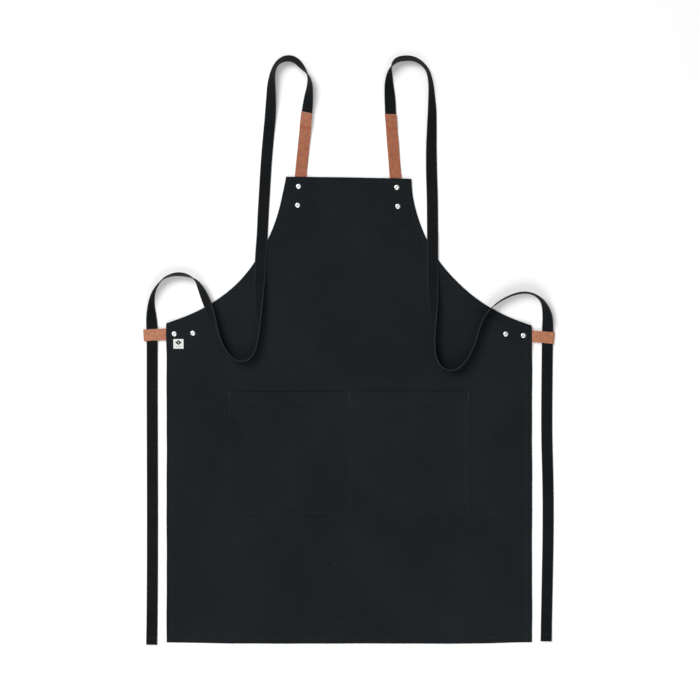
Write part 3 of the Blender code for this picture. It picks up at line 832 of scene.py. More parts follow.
@dataclass(frozen=True)
class LabelFinish(Finish):
    """Damask label: satin ground with a plain lozenge and a bar woven in."""

    width: float = 0.0197
    height: float = 0.0185
    figure: tuple[float, float, float] = (0.030, 0.034, 0.036)
    bar: tuple[float, float, float] = (0.42, 0.47, 0.42)

    def made(self) -> bpy.types.Material:
        """Build the material."""
        material, graph, shader = self.start()
        place = graph.add("UVMap", uv_map="UVMap").outputs["UV"]
        u, v, _ = graph.parts(place)
        across = graph.calc("ABSOLUTE", graph.times(u, 2.0 / self.width))
        up = graph.times(v, 2.0 / self.height)
        lift = graph.calc("ABSOLUTE", graph.calc("SUBTRACT", up, 0.28))
        lozenge = graph.plus(graph.calc("DIVIDE", across, 0.68), graph.calc("DIVIDE", lift, 0.52))
        solid = graph.calc("LESS_THAN", lozenge, 1.0)
        window = graph.calc("LESS_THAN", lozenge, 0.24)
        shape = graph.calc("SUBTRACT", solid, window)
        near_bar = graph.calc("LESS_THAN", graph.calc("ABSOLUTE", graph.plus(up, 0.50)), 0.10)
        bar = graph.times(near_bar, graph.calc("LESS_THAN", across, 0.55))
        satin = graph.wave(v, 0.0005)
        threads = graph.noise(graph.scaled(place, (180.0, 2400.0, 0.0)), 1.0, 2.0)
        ground = graph.blend(graph.span(threads, 0.3, 0.7), self.tone(0.90), self.tone(1.06))
        barred = graph.blend(bar, ground, (*self.bar, 1.0))
        graph.feed(shader.inputs["Base Color"], graph.blend(shape, barred, (*self.figure, 1.0)))
        ground_height = graph.fused(satin, 0.3, threads)
        raised = graph.fused(graph.plus(shape, bar), 0.8, ground_height)
        self.bump(graph, shader, raised)
        return material


@dataclass(frozen=True)
class FloorFinish(Finish):
    """Matt light table, lit faintly from below."""

    glow: float = 0.12

    def made(self) -> bpy.types.Material:
        """Build the material."""
        material, graph, shader = self.start()
        place = graph.add("TexCoord").outputs["Object"]
        tone = graph.blend(graph.noise(place, 3.0, 3.0), self.tone(0.985), self.tone(1.015))
        shader.inputs["Emission Color"].default_value = (1.0, 1.0, 1.0, 1.0)
        shader.inputs["Emission Strength"].default_value = self.glow
        graph.feed(shader.inputs["Base Color"], tone)
        self.bump(graph, shader, graph.noise(place, 400.0, 2.0), 0.1)
        return material


CANVAS = CanvasFinish(
    "charcoal_canvas", (0.0082, 0.0106, 0.0127), 0.88, 0.02, 0.5, 0.07, bump_depth=0.00016
)
# The webbing's colour is darker than the canvas's: partly its own tone, partly painted shade for the shaded
# sides of the strap where it stands on edge.
WEBBING = WebbingFinish(
    "charcoal_webbing", (0.0052, 0.0061, 0.0070), 0.82, 0.02, 0.5, 0.08, bump_depth=0.00018
)
# The tab leather is darker than the loop leather: partly the two leathers' own tones, partly painted shade,
# since the tabs lie where the light is weaker.
TAB_LEATHER = LeatherFinish(
    "tan_tab_leather", (0.330, 0.100, 0.042), 0.50, 0.0, 0.5, 0.40, bump_depth=0.00010
)
LOOP_LEATHER = LeatherFinish(
    "tan_loop_leather", (0.440, 0.171, 0.088), 0.52, 0.0, 0.5, 0.40, bump_depth=0.00010
)
NICKEL = MetalFinish("bright_nickel", (0.93, 0.93, 0.92), 0.36, metallic=1.0, bump_depth=0.00002)
DARK_THREAD = ThreadFinish(
    "charcoal_thread", (0.0082, 0.0098, 0.0113), 0.62, 0.1, 0.5, 0.4, bump_depth=0.00004
)
TAN_THREAD = ThreadFinish(
    "tan_thread", (0.30, 0.11, 0.065), 0.60, 0.1, 0.5, 0.4, bump_depth=0.00004
)
PALE_THREAD = ThreadFinish(
    "pale_thread", (0.62, 0.63, 0.60), 0.65, 0.1, 0.5, 0.4, bump_depth=0.00004
)
LABEL_CLOTH = LabelFinish(
    "woven_label", (0.74, 0.765, 0.72), 0.72, 0.1, 0.5, 0.3, bump_depth=0.00006
)
FLOOR = FloorFinish("pale_floor", (0.88, 0.88, 0.88), 0.9, specular=0.1, bump_depth=0.0001)


# ------------------------------------------------------------------ the panel's shape
@dataclass
class Outline:
    """The canvas's edge: straight skirt, curved armholes, narrow bib."""

    half_width: float = 0.353
    bottom: float = -0.5127
    top: float = 0.3873
    bib_half_width: float = 0.1212
    side_corner: float = 0.105
    bib_handle: tuple[float, float] = (0.1328, 0.2664)
    side_handle: tuple[float, float] = (0.2012, 0.1487)
    top_slope: float = -0.0165

    def armhole(self, t: Array) -> Array:
        """The right armhole from the bib (t = 0) to the side (t = 1), a cubic Bezier."""
        knots = [(self.bib_half_width, self.top), self.bib_handle, self.side_handle]
        knots.append((self.half_width, self.side_corner))
        a, b, c, d = (np.array(knot)[None, :] for knot in knots)
        t = np.asarray(t)[:, None]
        return a * (1 - t) ** 3 + 3 * b * t * (1 - t) ** 2 + 3 * c * t**2 * (1 - t) + d * t**3

    def arm_line(self) -> tuple[Array, Array]:
        """Close points along the right armhole, and the length along it to each."""
        fine = self.armhole(np.linspace(0.0, 1.0, 400))
        return fine, lengths_along(fine)

    def bib_share(self) -> float:
        """The share of half the upper edge that is bib top."""
        _, along = self.arm_line()
        return self.bib_half_width / (along[-1] + self.bib_half_width)

    def area(self) -> float:
        """The area inside the edge."""
        arm = self.armhole(np.linspace(0.0, 1.0, 200))
        above = abs(np.trapz(arm[:, 0], arm[:, 1])) * 2.0
        return above + 2.0 * self.half_width * (self.side_corner - self.bottom)

    def inset(self, x: Array, y: Array) -> tuple[Array, Array]:
        """Distance inside the edge, and the same measured in hem widths.

        The distance to an armhole is to its nearest of 160 chords.

        Args:
            x: places across.
            y: places up.

        Returns:
            Metres inside the nearest edge, negative outside, and the smallest share of a hem.
        """
        shape = np.shape(x)
        px, py = np.abs(np.ravel(x)), np.ravel(y)
        chords = self.armhole(np.linspace(0.0, 1.0, 161))
        start, run = chords[:-1], np.diff(chords, axis=0)
        best = np.full(len(px), 1e9)
        sign = np.ones(len(px))
        for low in range(0, len(px), 20000):
            part = slice(low, low + 20000)
            dx = px[part, None] - start[None, :, 0]
            dy = py[part, None] - start[None, :, 1]
            t = np.clip((dx * run[:, 0] + dy * run[:, 1]) / (run**2).sum(1), 0.0, 1.0)
            gx, gy = dx - t * run[:, 0], dy - t * run[:, 1]
            gap = np.hypot(gx, gy)
            nearest = gap.argmin(1)
            rows = np.arange(len(nearest))
            best[part] = gap[rows, nearest]
            turn = run[nearest, 0] * dy[rows, nearest] - run[nearest, 1] * dx[rows, nearest]
            sign[part] = np.where(turn > 0.0, -1.0, 1.0)
        armhole = best * sign
        side = self.half_width - px
        low_edge = py - self.bottom
        high_edge = self.top - py
        gaps = np.stack([armhole, side, low_edge, high_edge])
        hems = np.array([HEM.armhole, HEM.side, HEM.bottom, HEM.top])[:, None]
        return gaps.min(0).reshape(shape), (gaps / hems).min(0).reshape(shape)


@dataclass(frozen=True)
class HemWidths:
    """Width of the turned-under hem along each edge."""

    armhole: float = 0.0090
    side: float = 0.0125
    bottom: float = 0.0125
    top: float = 0.0100


HEM = HemWidths()


@dataclass(frozen=True)
class Crease:
    """A soft ridge in the cloth between two places."""

    start: tuple[float, float]
    end: tuple[float, float]
    height: float
    width: float

    def raise_at(self, x: Array, y: Array) -> Array:
        """Height added at each place: a bell across the line, fading at its ends."""
        ax, ay = self.start
        dx, dy = self.end[0] - ax, self.end[1] - ay
        t = ((x - ax) * dx + (y - ay) * dy) / (dx * dx + dy * dy)
        nearest = np.clip(t, 0.0, 1.0)
        gap = np.hypot(x - ax - nearest * dx, y - ay - nearest * dy)
        return self.height * hump(gap, 0.0, self.width)


@dataclass(frozen=True)
class Wave:
    """A slow wave over the cloth; its two rates are in turns per metre."""

    share: float
    rate_x: float
    rate_y: float
    phase: float

    def height_at(self, x: Array, y: Array) -> Array:
        """share * sin(2 pi (rate_x x + rate_y y) + phase)."""
        return self.share * np.sin(2.0 * math.pi * (self.rate_x * x + self.rate_y * y) + self.phase)


@dataclass
class ClothForm:
    """Heights of the canvas: lifted over the leather, hemmed, and gently uneven."""

    outline: Outline = field(default_factory=Outline)
    ply: float = 0.00075
    rest: float = 0.00035
    hem_rise: float = 0.00062
    hem_drop: float = 0.00030
    edge_round: float = 0.0009
    rivets: Array = field(default_factory=lambda: np.zeros((0, 2)))
    creases: tuple[Crease, ...] = (
        Crease((0.0975, 0.3290), (0.1275, 0.2960), 0.0011, 0.0032),
        Crease((0.1005, 0.3350), (0.1190, 0.3220), 0.0006, 0.0030),
        Crease((-0.1010, 0.3300), (-0.1180, 0.3120), 0.0005, 0.0035),
        Crease((0.2860, 0.1120), (0.3300, 0.0960), 0.0008, 0.0050),
        Crease((-0.2950, 0.0700), (-0.2700, 0.0480), 0.0006, 0.0050),
        Crease((0.2900, 0.0680), (0.2600, 0.0350), 0.0005, 0.0055),
    )

    wave_height: float = 0.00042
    waves: tuple[Wave, ...] = (
        Wave(0.30, 1.0 / 0.31, 0.35, 0.6),
        Wave(0.26, -0.8, 1.0 / 0.27, 2.1),
        Wave(0.20, 1.0 / 0.137, -1.0 / 0.41, 1.2),
        Wave(0.14, 1.0 / 0.083, 1.0 / 0.19, 4.0),
        Wave(0.08, 1.0 / 0.052, -1.0 / 0.061, 0.3),
    )

    def lift(self, x: Array, y: Array) -> Array:
        """How far the leather behind the canvas lifts it."""
        away = np.abs(x)
        shoulder = smooth_step(away, 0.056, 0.082) * (1.0 - smooth_step(away, 0.108, 0.134))
        shoulder = shoulder * smooth_step(y, 0.288, 0.318)
        loop = smooth_step(away, 0.264, 0.290) * smooth_step(y, 0.040, 0.068)
        loop = loop * (1.0 - smooth_step(y, 0.099, 0.126))
        return SHOULDER_LIFT * shoulder + LOOP_LIFT * loop

    def drape(self, x: Array, y: Array) -> Array:
        """Slow unevenness, never below 0: a few long waves, creases and rivet puckers."""
        waves = sum(wave.height_at(x, y) for wave in self.waves)
        calm = 1.0 - 0.9 * np.clip(self.lift(x, y) / SHOULDER_LIFT, 0.0, 1.0)
        height = self.wave_height * (0.98 + waves) * calm
        for crease in self.creases:
            height = height + crease.raise_at(x, y)
        for rx, ry in self.rivets:
            away = np.hypot(x - rx, y - ry)
            turn = np.arctan2(y - ry, x - rx)
            height = height + 0.00016 * hump(away, 0.0, 0.0065)
            height = height + 0.00012 * np.cos(5.0 * turn + 30.0 * rx) * hump(away, 0.0100, 0.0035)
        return np.maximum(height, 0.0)

    def hem_share(self, share: Array) -> Array:
        """1 on the hem, 0 on the single ply; the fold's inner edge is a step."""
        return 1.0 - smooth_step(share, 0.955, 1.03)

    def faces(self, x: Array, y: Array) -> tuple[Array, Array]:
        """Upper and lower surface heights at each place inside the edge."""
        inset, share = self.outline.inset(x, y)
        base = self.lift(x, y) + self.drape(x, y) + self.rest
        hem = self.hem_share(share)
        seam = hump(share, 0.87, 0.055)
        ripple = 1.0 + 0.35 * np.sin(2.0 * math.pi * (x - 0.7 * y) / 0.021) * hem
        upper = base + self.ply + self.hem_rise * hem * ripple - 0.00022 * seam
        lower = base - (self.hem_drop + self.rest - 0.00032) * hem + 0.00008 * seam
        return closed_at_rim(upper, lower, inset, self.edge_round)

    def top(self, x: Array, y: Array) -> Array:
        """Height of the cloth's face, and of the floor outside its edge."""
        inset, _ = self.outline.inset(x, y)
        upper, _ = self.faces(x, y)
        return np.where(inset > 0.0, upper, 0.0)

    def under(self, x: Array, y: Array) -> Array:
        """Height of the cloth's back."""
        return self.faces(x, y)[1]

    def shifted(self, points: Array) -> Array:
        """Points moved a little in the plane, so that no edge is ruler-straight.

        The skirt's corners turn up, the armholes lean left, the bib's top tilts and bows, and
        a sum of slow sines runs along the sides and the lower edge.
        """
        x, y = points[..., 0], points[..., 1]
        outline = self.outline
        out = np.clip(np.abs(x) / outline.half_width, 0.0, 1.0)
        wave = np.sin(2.0 * math.pi * y / 0.23 + 1.1 * np.sign(x))
        wave = wave + 0.6 * np.sin(2.0 * math.pi * y / 0.091 + x * 3.0)
        low = smooth_step(-y, 0.30, -outline.bottom)
        ripple = np.sin(2.0 * math.pi * x / 0.29 + 0.5) + 0.5 * np.sin(2.0 * math.pi * x / 0.103)
        skirt = 1.0 - smooth_step(y, 0.02, 0.10)
        armhole = smooth_step(y, 0.17, 0.24) * (1.0 - smooth_step(y, 0.345, 0.40))
        upper = smooth_step(y, 0.25, outline.top)
        shoulder = smooth_step(y, 0.03, 0.12) * (1.0 - upper)
        moved = points.copy()
        moved[..., 0] = x + 0.0008 * skirt - 0.0026 * armhole + 0.00022 * out**3 * wave
        moved[..., 1] = y + low * (0.0002 * ripple + 0.0003 + 0.0023 * smooth_step(out, 0.62, 1.02))
        moved[..., 1] += (outline.top_slope * upper - 0.0066 * shoulder) * x
        moved[..., 1] += 0.0009 * upper * (1.0 - (x / outline.bib_half_width) ** 2)
        return moved


# ------------------------------------------------------------------ sewing
@dataclass
class Sewing:
    """Runs of short stitches, all in one mesh."""

    pitch: float = 0.0034
    length: float = 0.0026
    radius: float = 0.00030
    sink: float = 0.00006
    around: int = 6

    def template(self) -> tuple[Array, list[Array]]:
        """One stitch along x: a short thread that dips at both ends."""
        reach = np.array([-0.46, -0.30, 0.30, 0.46]) * self.length
        girth = np.array([0.65, 1.0, 1.0, 0.65]) * self.radius
        drop = np.array([-0.5, 0.0, 0.0, -0.5]) * self.radius
        angles = np.arange(self.around) * 2.0 * math.pi / self.around
        rings = np.empty((len(reach), self.around, 3))
        rings[..., 0] = reach[:, None]
        rings[..., 1] = girth[:, None] * np.cos(angles)
        rings[..., 2] = girth[:, None] * np.sin(angles) + drop[:, None]
        poles = np.array([[sign * self.length, 0.0, -self.radius] for sign in (-0.5, 0.5)])
        points = np.concatenate([rings.reshape(-1, 3), poles])
        return points, poled_faces(len(rings), self.around)

    def run_places(self, line: Array) -> tuple[Array, Array]:
        """Middle and direction of each stitch along a line of (x, y)."""
        along = lengths_along(line)
        count = max(1, int(along[-1] / self.pitch))
        stations = (np.arange(count) + 0.5) * along[-1] / count
        middle = resampled(line, along, stations)
        ahead = resampled(line, along, np.minimum(stations + 0.0008, along[-1]))
        back = resampled(line, along, np.maximum(stations - 0.0008, 0.0))
        return middle, np.arctan2(*(ahead - back)[:, ::-1].T)

    def build(
        self,
        name: str,
        runs: Sequence[tuple[Array, HeightField]],
        material: bpy.types.Material,
        settle: Callable[[Array], Array] | None = None,
    ) -> bpy.types.Object:
        """Make every stitch of several runs as one piece.

        Args:
            name: the piece's name.
            runs: lines of (x, y), each with the height of the surface it is sewn into.
            material: the thread's finish.
            settle: the in-plane shift of the cloth, if it has one.

        Returns:
            The new object.
        """
        middles, headings, heights = [], [], []
        for line, height in runs:
            middle, heading = self.run_places(line)
            middles.append(middle)
            headings.append(heading)
            heights.append(height(middle[:, 0], middle[:, 1]))
        middle = np.concatenate(middles)
        heading = np.concatenate(headings)
        place = np.concatenate([middle, np.concatenate(heights)[:, None] - self.sink], axis=1)
        if settle is not None:
            place = settle(place)
        return self.scatter(name, place, heading, material)

    def scatter(
        self, name: str, place: Array, heading: Array, material: bpy.types.Material, tilt: Array | None = None
    ) -> bpy.types.Object:
        """One copy of the stitch at each place, turned to its heading or to a full frame.

        Args:
            name: the piece's name.
            place: rows (x, y, z).
            heading: angle of each stitch in the plane.
            material: the thread's finish.
            tilt: optional 3 x 3 frames, one per stitch, used instead of the headings.

        Returns:
            The new object.
        """
        shape, faces = self.template()
        if tilt is None:
            zero, one = np.zeros_like(heading), np.ones_like(heading)
            cosine, sine = np.cos(heading), np.sin(heading)
            rows = [cosine, -sine, zero, sine, cosine, zero, zero, zero, one]
            tilt = np.stack(rows, 1).reshape(-1, 3, 3)
        points = place[:, None, :] + np.einsum("nij,mj->nmi", tilt, shape)
        shifts = np.arange(len(place))[:, None, None] * len(shape)
        groups = [(group[None] + shifts).reshape(-1, group.shape[1]) for group in faces]
        return mesh_piece(name, points.reshape(-1, 3), groups, material, crisp_degrees=80.0)


def zigzag_tack(centre: Sequence[float], angle: float, length: float, width: float, count: int) -> Array:
    """A bar tack's thread: straight lines to and fro across a short bar."""
    t = np.linspace(-0.5, 0.5, count)
    side = np.where(np.arange(count) % 2 == 0, -0.5, 0.5) * width
    x = t * length * math.cos(angle) - side * math.sin(angle)
    y = t * length * math.sin(angle) + side * math.cos(angle)
    return np.stack([centre[0] + x, centre[1] + y], 1)


# ------------------------------------------------------------------ canvas pieces
@dataclass
class Panel:
    """The apron's body: one ply of canvas with a hem turned under all round."""

    form: ClothForm
    cell: float = 0.0062
    fine_cell: float = 0.0027
    fine_rise: float = 0.085
    rim: tuple[float, ...] = (0.0, 0.022, 0.08, 0.20, 0.45, 0.66, 0.79, 0.87, 0.945, 1.0, 1.06, 1.25, 1.6)

    def edge_stations(self) -> Array:
        """Stations on the upper edge, closer together by the rivets and the loops."""
        share = self.form.outline.bib_share()
        _, along = self.form.outline.arm_line()
        total = along[-1] + self.form.outline.bib_half_width
        bounds = [0.0, 0.068 / total, share, 1.0 - 0.062 / total, 1.0]
        cells = [self.cell, self.fine_cell, self.cell, self.fine_cell]
        parts = [
            np.linspace(low, high, max(2, round((high - low) * total / cell) + 1))[:-1]
            for low, high, cell in zip(bounds, bounds[1:], cells)
        ]
        half = np.concatenate(parts)
        return np.concatenate([-half[:0:-1], half])

    def upper_row(self, stations: Array, share: float) -> Array:
        """The line at one share of a hem inside the upper edge, mitred at the bib's corners.

        With unit directions u along the bib's top and v down the armhole from their corner,
        the mitre is corner + a u + b v, where a and b put it one hem share inside each edge.
        Stations stretch evenly from the mitre on both sides.

        Args:
            stations: shares of the upper edge from -1 to 1.
            share: depth in hem widths.

        Returns:
            Rows (x, y).
        """
        outline = self.form.outline
        fine, along = outline.arm_line()
        down = (fine[1] - fine[0]) / along[1]
        a = HEM.armhole * share / -down[1]
        b = HEM.top * share / -down[1]
        mitre_x = outline.bib_half_width - a + b * down[0]
        started = b - a * down[0]
        total = along[-1] + outline.bib_half_width
        reach = np.abs(stations) * total
        level = np.full(len(reach), outline.top - HEM.top * share)
        bib = np.stack([reach * mitre_x / outline.bib_half_width, level], 1)
        run = np.clip(reach - outline.bib_half_width, 0.0, None)
        run = started + run * (1.0 - started / along[-1])
        tangents = np.gradient(fine, along, axis=0)
        tangents /= np.linalg.norm(tangents, axis=1, keepdims=True)
        inward = np.stack([tangents[:, 1], -tangents[:, 0]], 1)
        arm = resampled(fine + inward * HEM.armhole * share, along, run)
        row = np.where((reach <= outline.bib_half_width + 1e-9)[:, None], bib, arm)
        row[:, 0] *= np.where(stations < 0.0, -1.0, 1.0)
        return row

    def plane_grid(self) -> Array:
        """Places of the grid's points in the plane, rows x columns x 2.

        Rows and columns follow the hems at fixed shares of a hem near every edge; between
        them the rows are even steps from the lower hem's inner line to the upper one's.
        """
        outline = self.form.outline
        rim = np.array(self.rim)
        deep = rim[-1]
        stations = self.edge_stations()
        side_x = outline.half_width - deep * HEM.side
        stations = stations[np.abs(self.upper_row(stations, 0.0)[:, 0]) < side_x - 0.002]
        rows = [self.upper_row(stations, share) for share in rim[::-1]]
        side_columns = outline.half_width - rim * HEM.side
        upper = []
        for row in rows:
            extended = np.concatenate([self.run_on(row[:2][::-1]), row, self.run_on(row[-2:])])
            ends = np.interp(side_columns, extended[:, 0], extended[:, 1])
            left = np.interp(-side_columns, extended[:, 0], extended[:, 1])
            upper.append(np.concatenate([
                np.stack([-side_columns, left], 1), row, np.stack([side_columns, ends], 1)[::-1],
            ]))
        inner_top = upper[0]
        along = lengths_along(inner_top[len(rim) - 1:-len(rim) + 1])
        spread = -side_x + 2.0 * side_x * along / along[-1]
        lower_x = np.concatenate([-side_columns[:-1], spread, side_columns[:-1][::-1]])
        low_y = outline.bottom + deep * HEM.bottom
        inner_low = np.stack([lower_x, np.full(len(lower_x), low_y)], 1)
        tall = outline.top - low_y
        knee = 1.0 - self.fine_rise / tall
        coarse = np.linspace(0.0, knee, round(knee * tall / self.cell) + 1)
        fine = np.linspace(knee, 1.0, round(self.fine_rise / self.fine_cell) + 1)
        shares = np.concatenate([coarse[:-1], fine])[:, None, None]
        middle = inner_low[None] * (1.0 - shares) + inner_top[None] * shares
        levels = [outline.bottom + share * HEM.bottom for share in rim[:-1]]
        low_rows = [np.stack([lower_x, np.full(len(lower_x), level)], 1) for level in levels]
        return np.concatenate([np.stack(low_rows), middle, np.stack(upper[1:])])

    @staticmethod
    def run_on(pair: Array, reach: float = 0.08) -> Array:
        """A point far ahead of a pair, on their line, given the pair's outer point last."""
        step = pair[1] - pair[0]
        return (pair[1] + step / np.linalg.norm(step) * reach)[None]

    def build(self, material: bpy.types.Material) -> bpy.types.Object:
        """Make the panel as a closed sheet."""
        grid = self.plane_grid()
        surfaces = self.form.faces(grid[..., 0], grid[..., 1])
        _, share = self.form.outline.inset(grid[..., 0], grid[..., 1])
        rub = 0.7 * hump(share, 0.03, 0.10) + 0.5 * hump(share, 0.93, 0.05) + 0.25 * hump(share, 0.80, 0.05)
        obj = sheet_piece("canvas_panel", self.form.shifted(grid), grid, surfaces, material, {"rub": rub})
        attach(obj, "root")
        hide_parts("apron_panel")
        outline = self.form.outline
        edge_length = 2.0 * (outline.half_width * 2.0 + outline.top - outline.bottom)
        outline.area() + edge_length * 0.020
        return obj

    def hem_lines(self, share: float) -> list[Array]:
        """Lines that follow every edge at one share of its hem."""
        outline = self.form.outline
        side = outline.half_width - share * HEM.side
        corner = outline.bib_share()
        arms = [self.upper_row(np.sign(s) * np.linspace(corner + 1e-6, 1.0, 500), share) for s in (-1.0, 1.0)]
        left, right = (arm[np.abs(arm[:, 0]) < side] for arm in arms)
        bib_x = abs(left[0, 0])
        top_y = outline.top - share * HEM.top
        low_y = outline.bottom + share * HEM.bottom
        top = np.array([[-bib_x, top_y], [bib_x, top_y]])
        corner_y = outline.side_corner - 0.006
        sides = [np.array([[s * side, low_y], [s * side, corner_y]]) for s in (-1.0, 1.0)]
        bottom = np.array([[-outline.half_width + 0.004, low_y], [outline.half_width - 0.004, low_y]])
        return [left, right, top, *sides, bottom]

    def build_stitching(self, material: bpy.types.Material) -> list[bpy.types.Object]:
        """The hem's stitches, seen on the face and on the back."""
        sewing = Sewing()
        lines = self.hem_lines(0.87)
        pieces = []
        for name, surface in (("hem_stitches_face", self.form.top), ("hem_stitches_back", self.form.under)):
            obj = sewing.build(name, [(line, surface) for line in lines], material, self.form.shifted)
            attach(obj, "root")
            pieces.append(obj)
        return pieces


@dataclass
class Pocket:
    """A wide patch pocket, sewn down the middle into two."""

    form: ClothForm
    ply: float = 0.00072
    turn: float = 0.0095
    mouth_hem: float = 0.0200
    divider_x: float = 0.0006
    puff: float = 0.0013
    edge_round: float = 0.0007
    cell: float = 0.0042

    def __post_init__(self) -> None:
        """Take the pocket's corners from the frame."""
        low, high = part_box("front_pocket")
        self.low, self.high = np.array(low[:2]), np.array(high[:2])

    def seam_gap(self, x: Array, y: Array) -> Array:
        """Distance to the nearest line of stitches."""
        sides = np.minimum(x - self.low[0], self.high[0] - x) - 0.003
        return np.minimum(np.minimum(sides, y - self.low[1] - 0.003), np.abs(x - self.divider_x))

    def puffed(self, x: Array, y: Array) -> Array:
        """How far the pocket stands off the panel: nothing at the seams, most at the mouth."""
        room = smooth_step(self.seam_gap(x, y), 0.0, 0.055)
        height = smooth_step(y, self.low[1], self.high[1] + 0.05)
        slack = 0.55 + 0.45 * np.sin(2.0 * math.pi * (x / 0.19 + y / 0.33) + 0.7)
        pucker = 0.00010 * np.sin(2.0 * math.pi * y / 0.017) * hump(np.abs(x - self.divider_x), 0.0, 0.012)
        return self.puff * room * (0.25 + 0.75 * height) * (0.6 + 0.4 * slack) + pucker + 0.0001

    def turned(self, x: Array, y: Array) -> Array:
        """1 where an edge is turned under, 0 on the single ply."""
        sides = np.minimum(x - self.low[0], self.high[0] - x)
        side = 1.0 - smooth_step(np.minimum(sides, y - self.low[1]), self.turn - 0.0004, self.turn + 0.0006)
        mouth = 1.0 - smooth_step(self.high[1] - y, self.mouth_hem - 0.0004, self.mouth_hem + 0.0006)
        return np.maximum(side, mouth)

    def faces(self, x: Array, y: Array) -> tuple[Array, Array]:
        """Upper and lower surface heights."""
        base = self.form.top(x, y) + self.puffed(x, y)
        gap = self.seam_gap(x, y)
        double = self.turned(x, y)
        seam = hump(gap, 0.0, 0.0011) + hump(self.high[1] - y, self.mouth_hem - 0.0016, 0.0011)
        upper = base + self.ply + 0.00042 * double - 0.00020 * np.minimum(seam, 1.0)
        lower = base + 0.00002 * double
        return closed_at_rim(upper, lower, box_inset(self.low, self.high, x, y), self.edge_round)

    def lines(self, low: float, high: float, marks: Sequence[float]) -> Array:
        """Even lines between two edges, with extra ones at the given distances from them."""
        near = np.array([0.0, 0.00025, 0.0007, 0.0018, 0.003, 0.0042, 0.0070, 0.0091, 0.0101, 0.0120])
        even = np.linspace(low + 0.016, high - 0.016, round((high - low - 0.032) / self.cell) + 1)
        return np.unique(np.round(np.concatenate([low + near, even, high - near, marks]), 6))

    def build(self, material: bpy.types.Material) -> bpy.types.Object:
        """Make the pocket as a closed sheet."""
        around = [self.divider_x + d for d in (-0.0022, -0.0011, 0.0, 0.0011, 0.0022)]
        mouth = [self.high[1] - self.mouth_hem + d for d in (-0.0006, 0.0004, 0.0016, 0.0028)]
        xs = self.lines(self.low[0], self.high[0], around)
        ys = self.lines(self.low[1], self.high[1], mouth)
        x, y = np.meshgrid(xs, ys)
        bow = 0.0009 * np.sin(math.pi * (x - self.low[0]) / (self.high[0] - self.low[0]) * 2.0)
        bow = bow * smooth_step(y, self.high[1] - 0.03, self.high[1]) * -1.0
        edge = box_inset(self.low, self.high, x, y)
        rub = 0.9 * hump(edge, 0.0, 0.0014) + 0.35 * hump(np.abs(x - self.divider_x), 0.0022, 0.0012)
        placed, flat_places = np.dstack([x, y + bow]), np.dstack([x, y])
        obj = sheet_piece("patch_pocket", placed, flat_places, self.faces(x, y), material, {"rub": rub})
        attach(obj, "root")
        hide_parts("front_pocket")
        return obj

    def top(self, x: Array, y: Array) -> Array:
        """Height of the pocket's face."""
        return self.faces(x, y)[0]

    def build_stitching(self, material: bpy.types.Material) -> list[bpy.types.Object]:
        """Seams round three sides, down the middle and under the mouth, and bar tacks."""
        in_by = 0.003
        left, right = self.low[0] + in_by, self.high[0] - in_by
        low, high = self.low[1] + in_by, self.high[1] - 0.0012
        mouth = self.high[1] - self.mouth_hem + 0.0016
        lines = [
            [(left, high), (left, low)], [(left, low), (right, low)], [(right, low), (right, high)],
            [(self.divider_x, low), (self.divider_x, high)],
            [(self.low[0] + 0.001, mouth), (self.high[0] - 0.001, mouth)],
        ]
        seams = Sewing().build("pocket_stitches", [(np.array(line), self.top) for line in lines], material)
        tack = Sewing(pitch=0.0021, length=0.0024, radius=0.00027, sink=-0.00008)
        places = [(left, high - 0.006), (right, high - 0.006), (self.divider_x, high - 0.006)]
        tacks = [(zigzag_tack(place, math.pi / 2.0, 0.0125, 0.0020, 26), self.top) for place in places]
        bars = tack.build("pocket_bar_tacks", tacks, material)
        for obj in (seams, bars):
            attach(obj, "root")
        return [seams, bars]


@dataclass
class Label:
    """A small woven label with turned ends, sewn on all round."""

    form: ClothForm
    thickness: float = 0.0005
    drawn_in: float = 0.0009
    nudge: tuple[float, float] = (0.0004, 0.0009)
    edge_round: float = 0.0004
    cells: int = 26

    def __post_init__(self) -> None:
        """Take the label's corners from the frame, drawn in where the ends turn under."""
        low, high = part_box("woven_label")
        self.low = np.array(low[:2]) + self.drawn_in + self.nudge
        self.high = np.array(high[:2]) - self.drawn_in + self.nudge

    def faces(self, x: Array, y: Array) -> tuple[Array, Array]:
        """Upper and lower surface heights: thicker at the turned ends, pinched at the seam."""
        ends = np.minimum(x - self.low[0], self.high[0] - x)
        edge = box_inset(self.low, self.high, x, y)
        base = self.form.top(x, y) + 0.00008
        seam = hump(edge, 0.0013, 0.0006)
        upper = base + self.thickness + 0.00022 * (1.0 - smooth_step(ends, 0.0032, 0.0040)) - 0.00014 * seam
        return closed_at_rim(upper, base, edge, self.edge_round)

    def build(self, materials: dict[str, bpy.types.Material]) -> list[bpy.types.Object]:
        """Make the label and its stitches."""
        near = np.array([0.0, 0.00015, 0.0004, 0.0009, 0.0013, 0.0018, 0.0031, 0.0037, 0.0043])
        spans = [(self.low[k], self.high[k]) for k in (0, 1)]
        evens = [np.linspace(low + 0.005, high - 0.005, self.cells) for low, high in spans]
        xs, ys = (
            np.unique(np.round(np.concatenate([low + near, even, high - near]), 6))
            for (low, high), even in zip(spans, evens)
        )
        x, y = np.meshgrid(xs, ys)
        places = np.dstack([x, y])
        flat_places = places - 0.5 * (self.low + self.high)
        cloth = materials["label"]
        obj = sheet_piece("name_free_label", places, flat_places, self.faces(x, y), cloth, crisp_degrees=40.0)
        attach(obj, "root")
        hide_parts("woven_label")
        a, b = self.low + 0.0013, self.high - 0.0013
        frame = np.array([(a[0], a[1]), (b[0], a[1]), (b[0], b[1]), (a[0], b[1]), (a[0], a[1])])
        sides = [(frame[k:k + 2], lambda u, v: self.faces(u, v)[0]) for k in range(4)]
        sewing = Sewing(pitch=0.0020, length=0.0015, radius=0.00018, sink=0.00002)
        stitches = sewing.build("label_stitches", sides, materials["pale_thread"])
        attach(stitches, "root")
        return [obj, stitches]


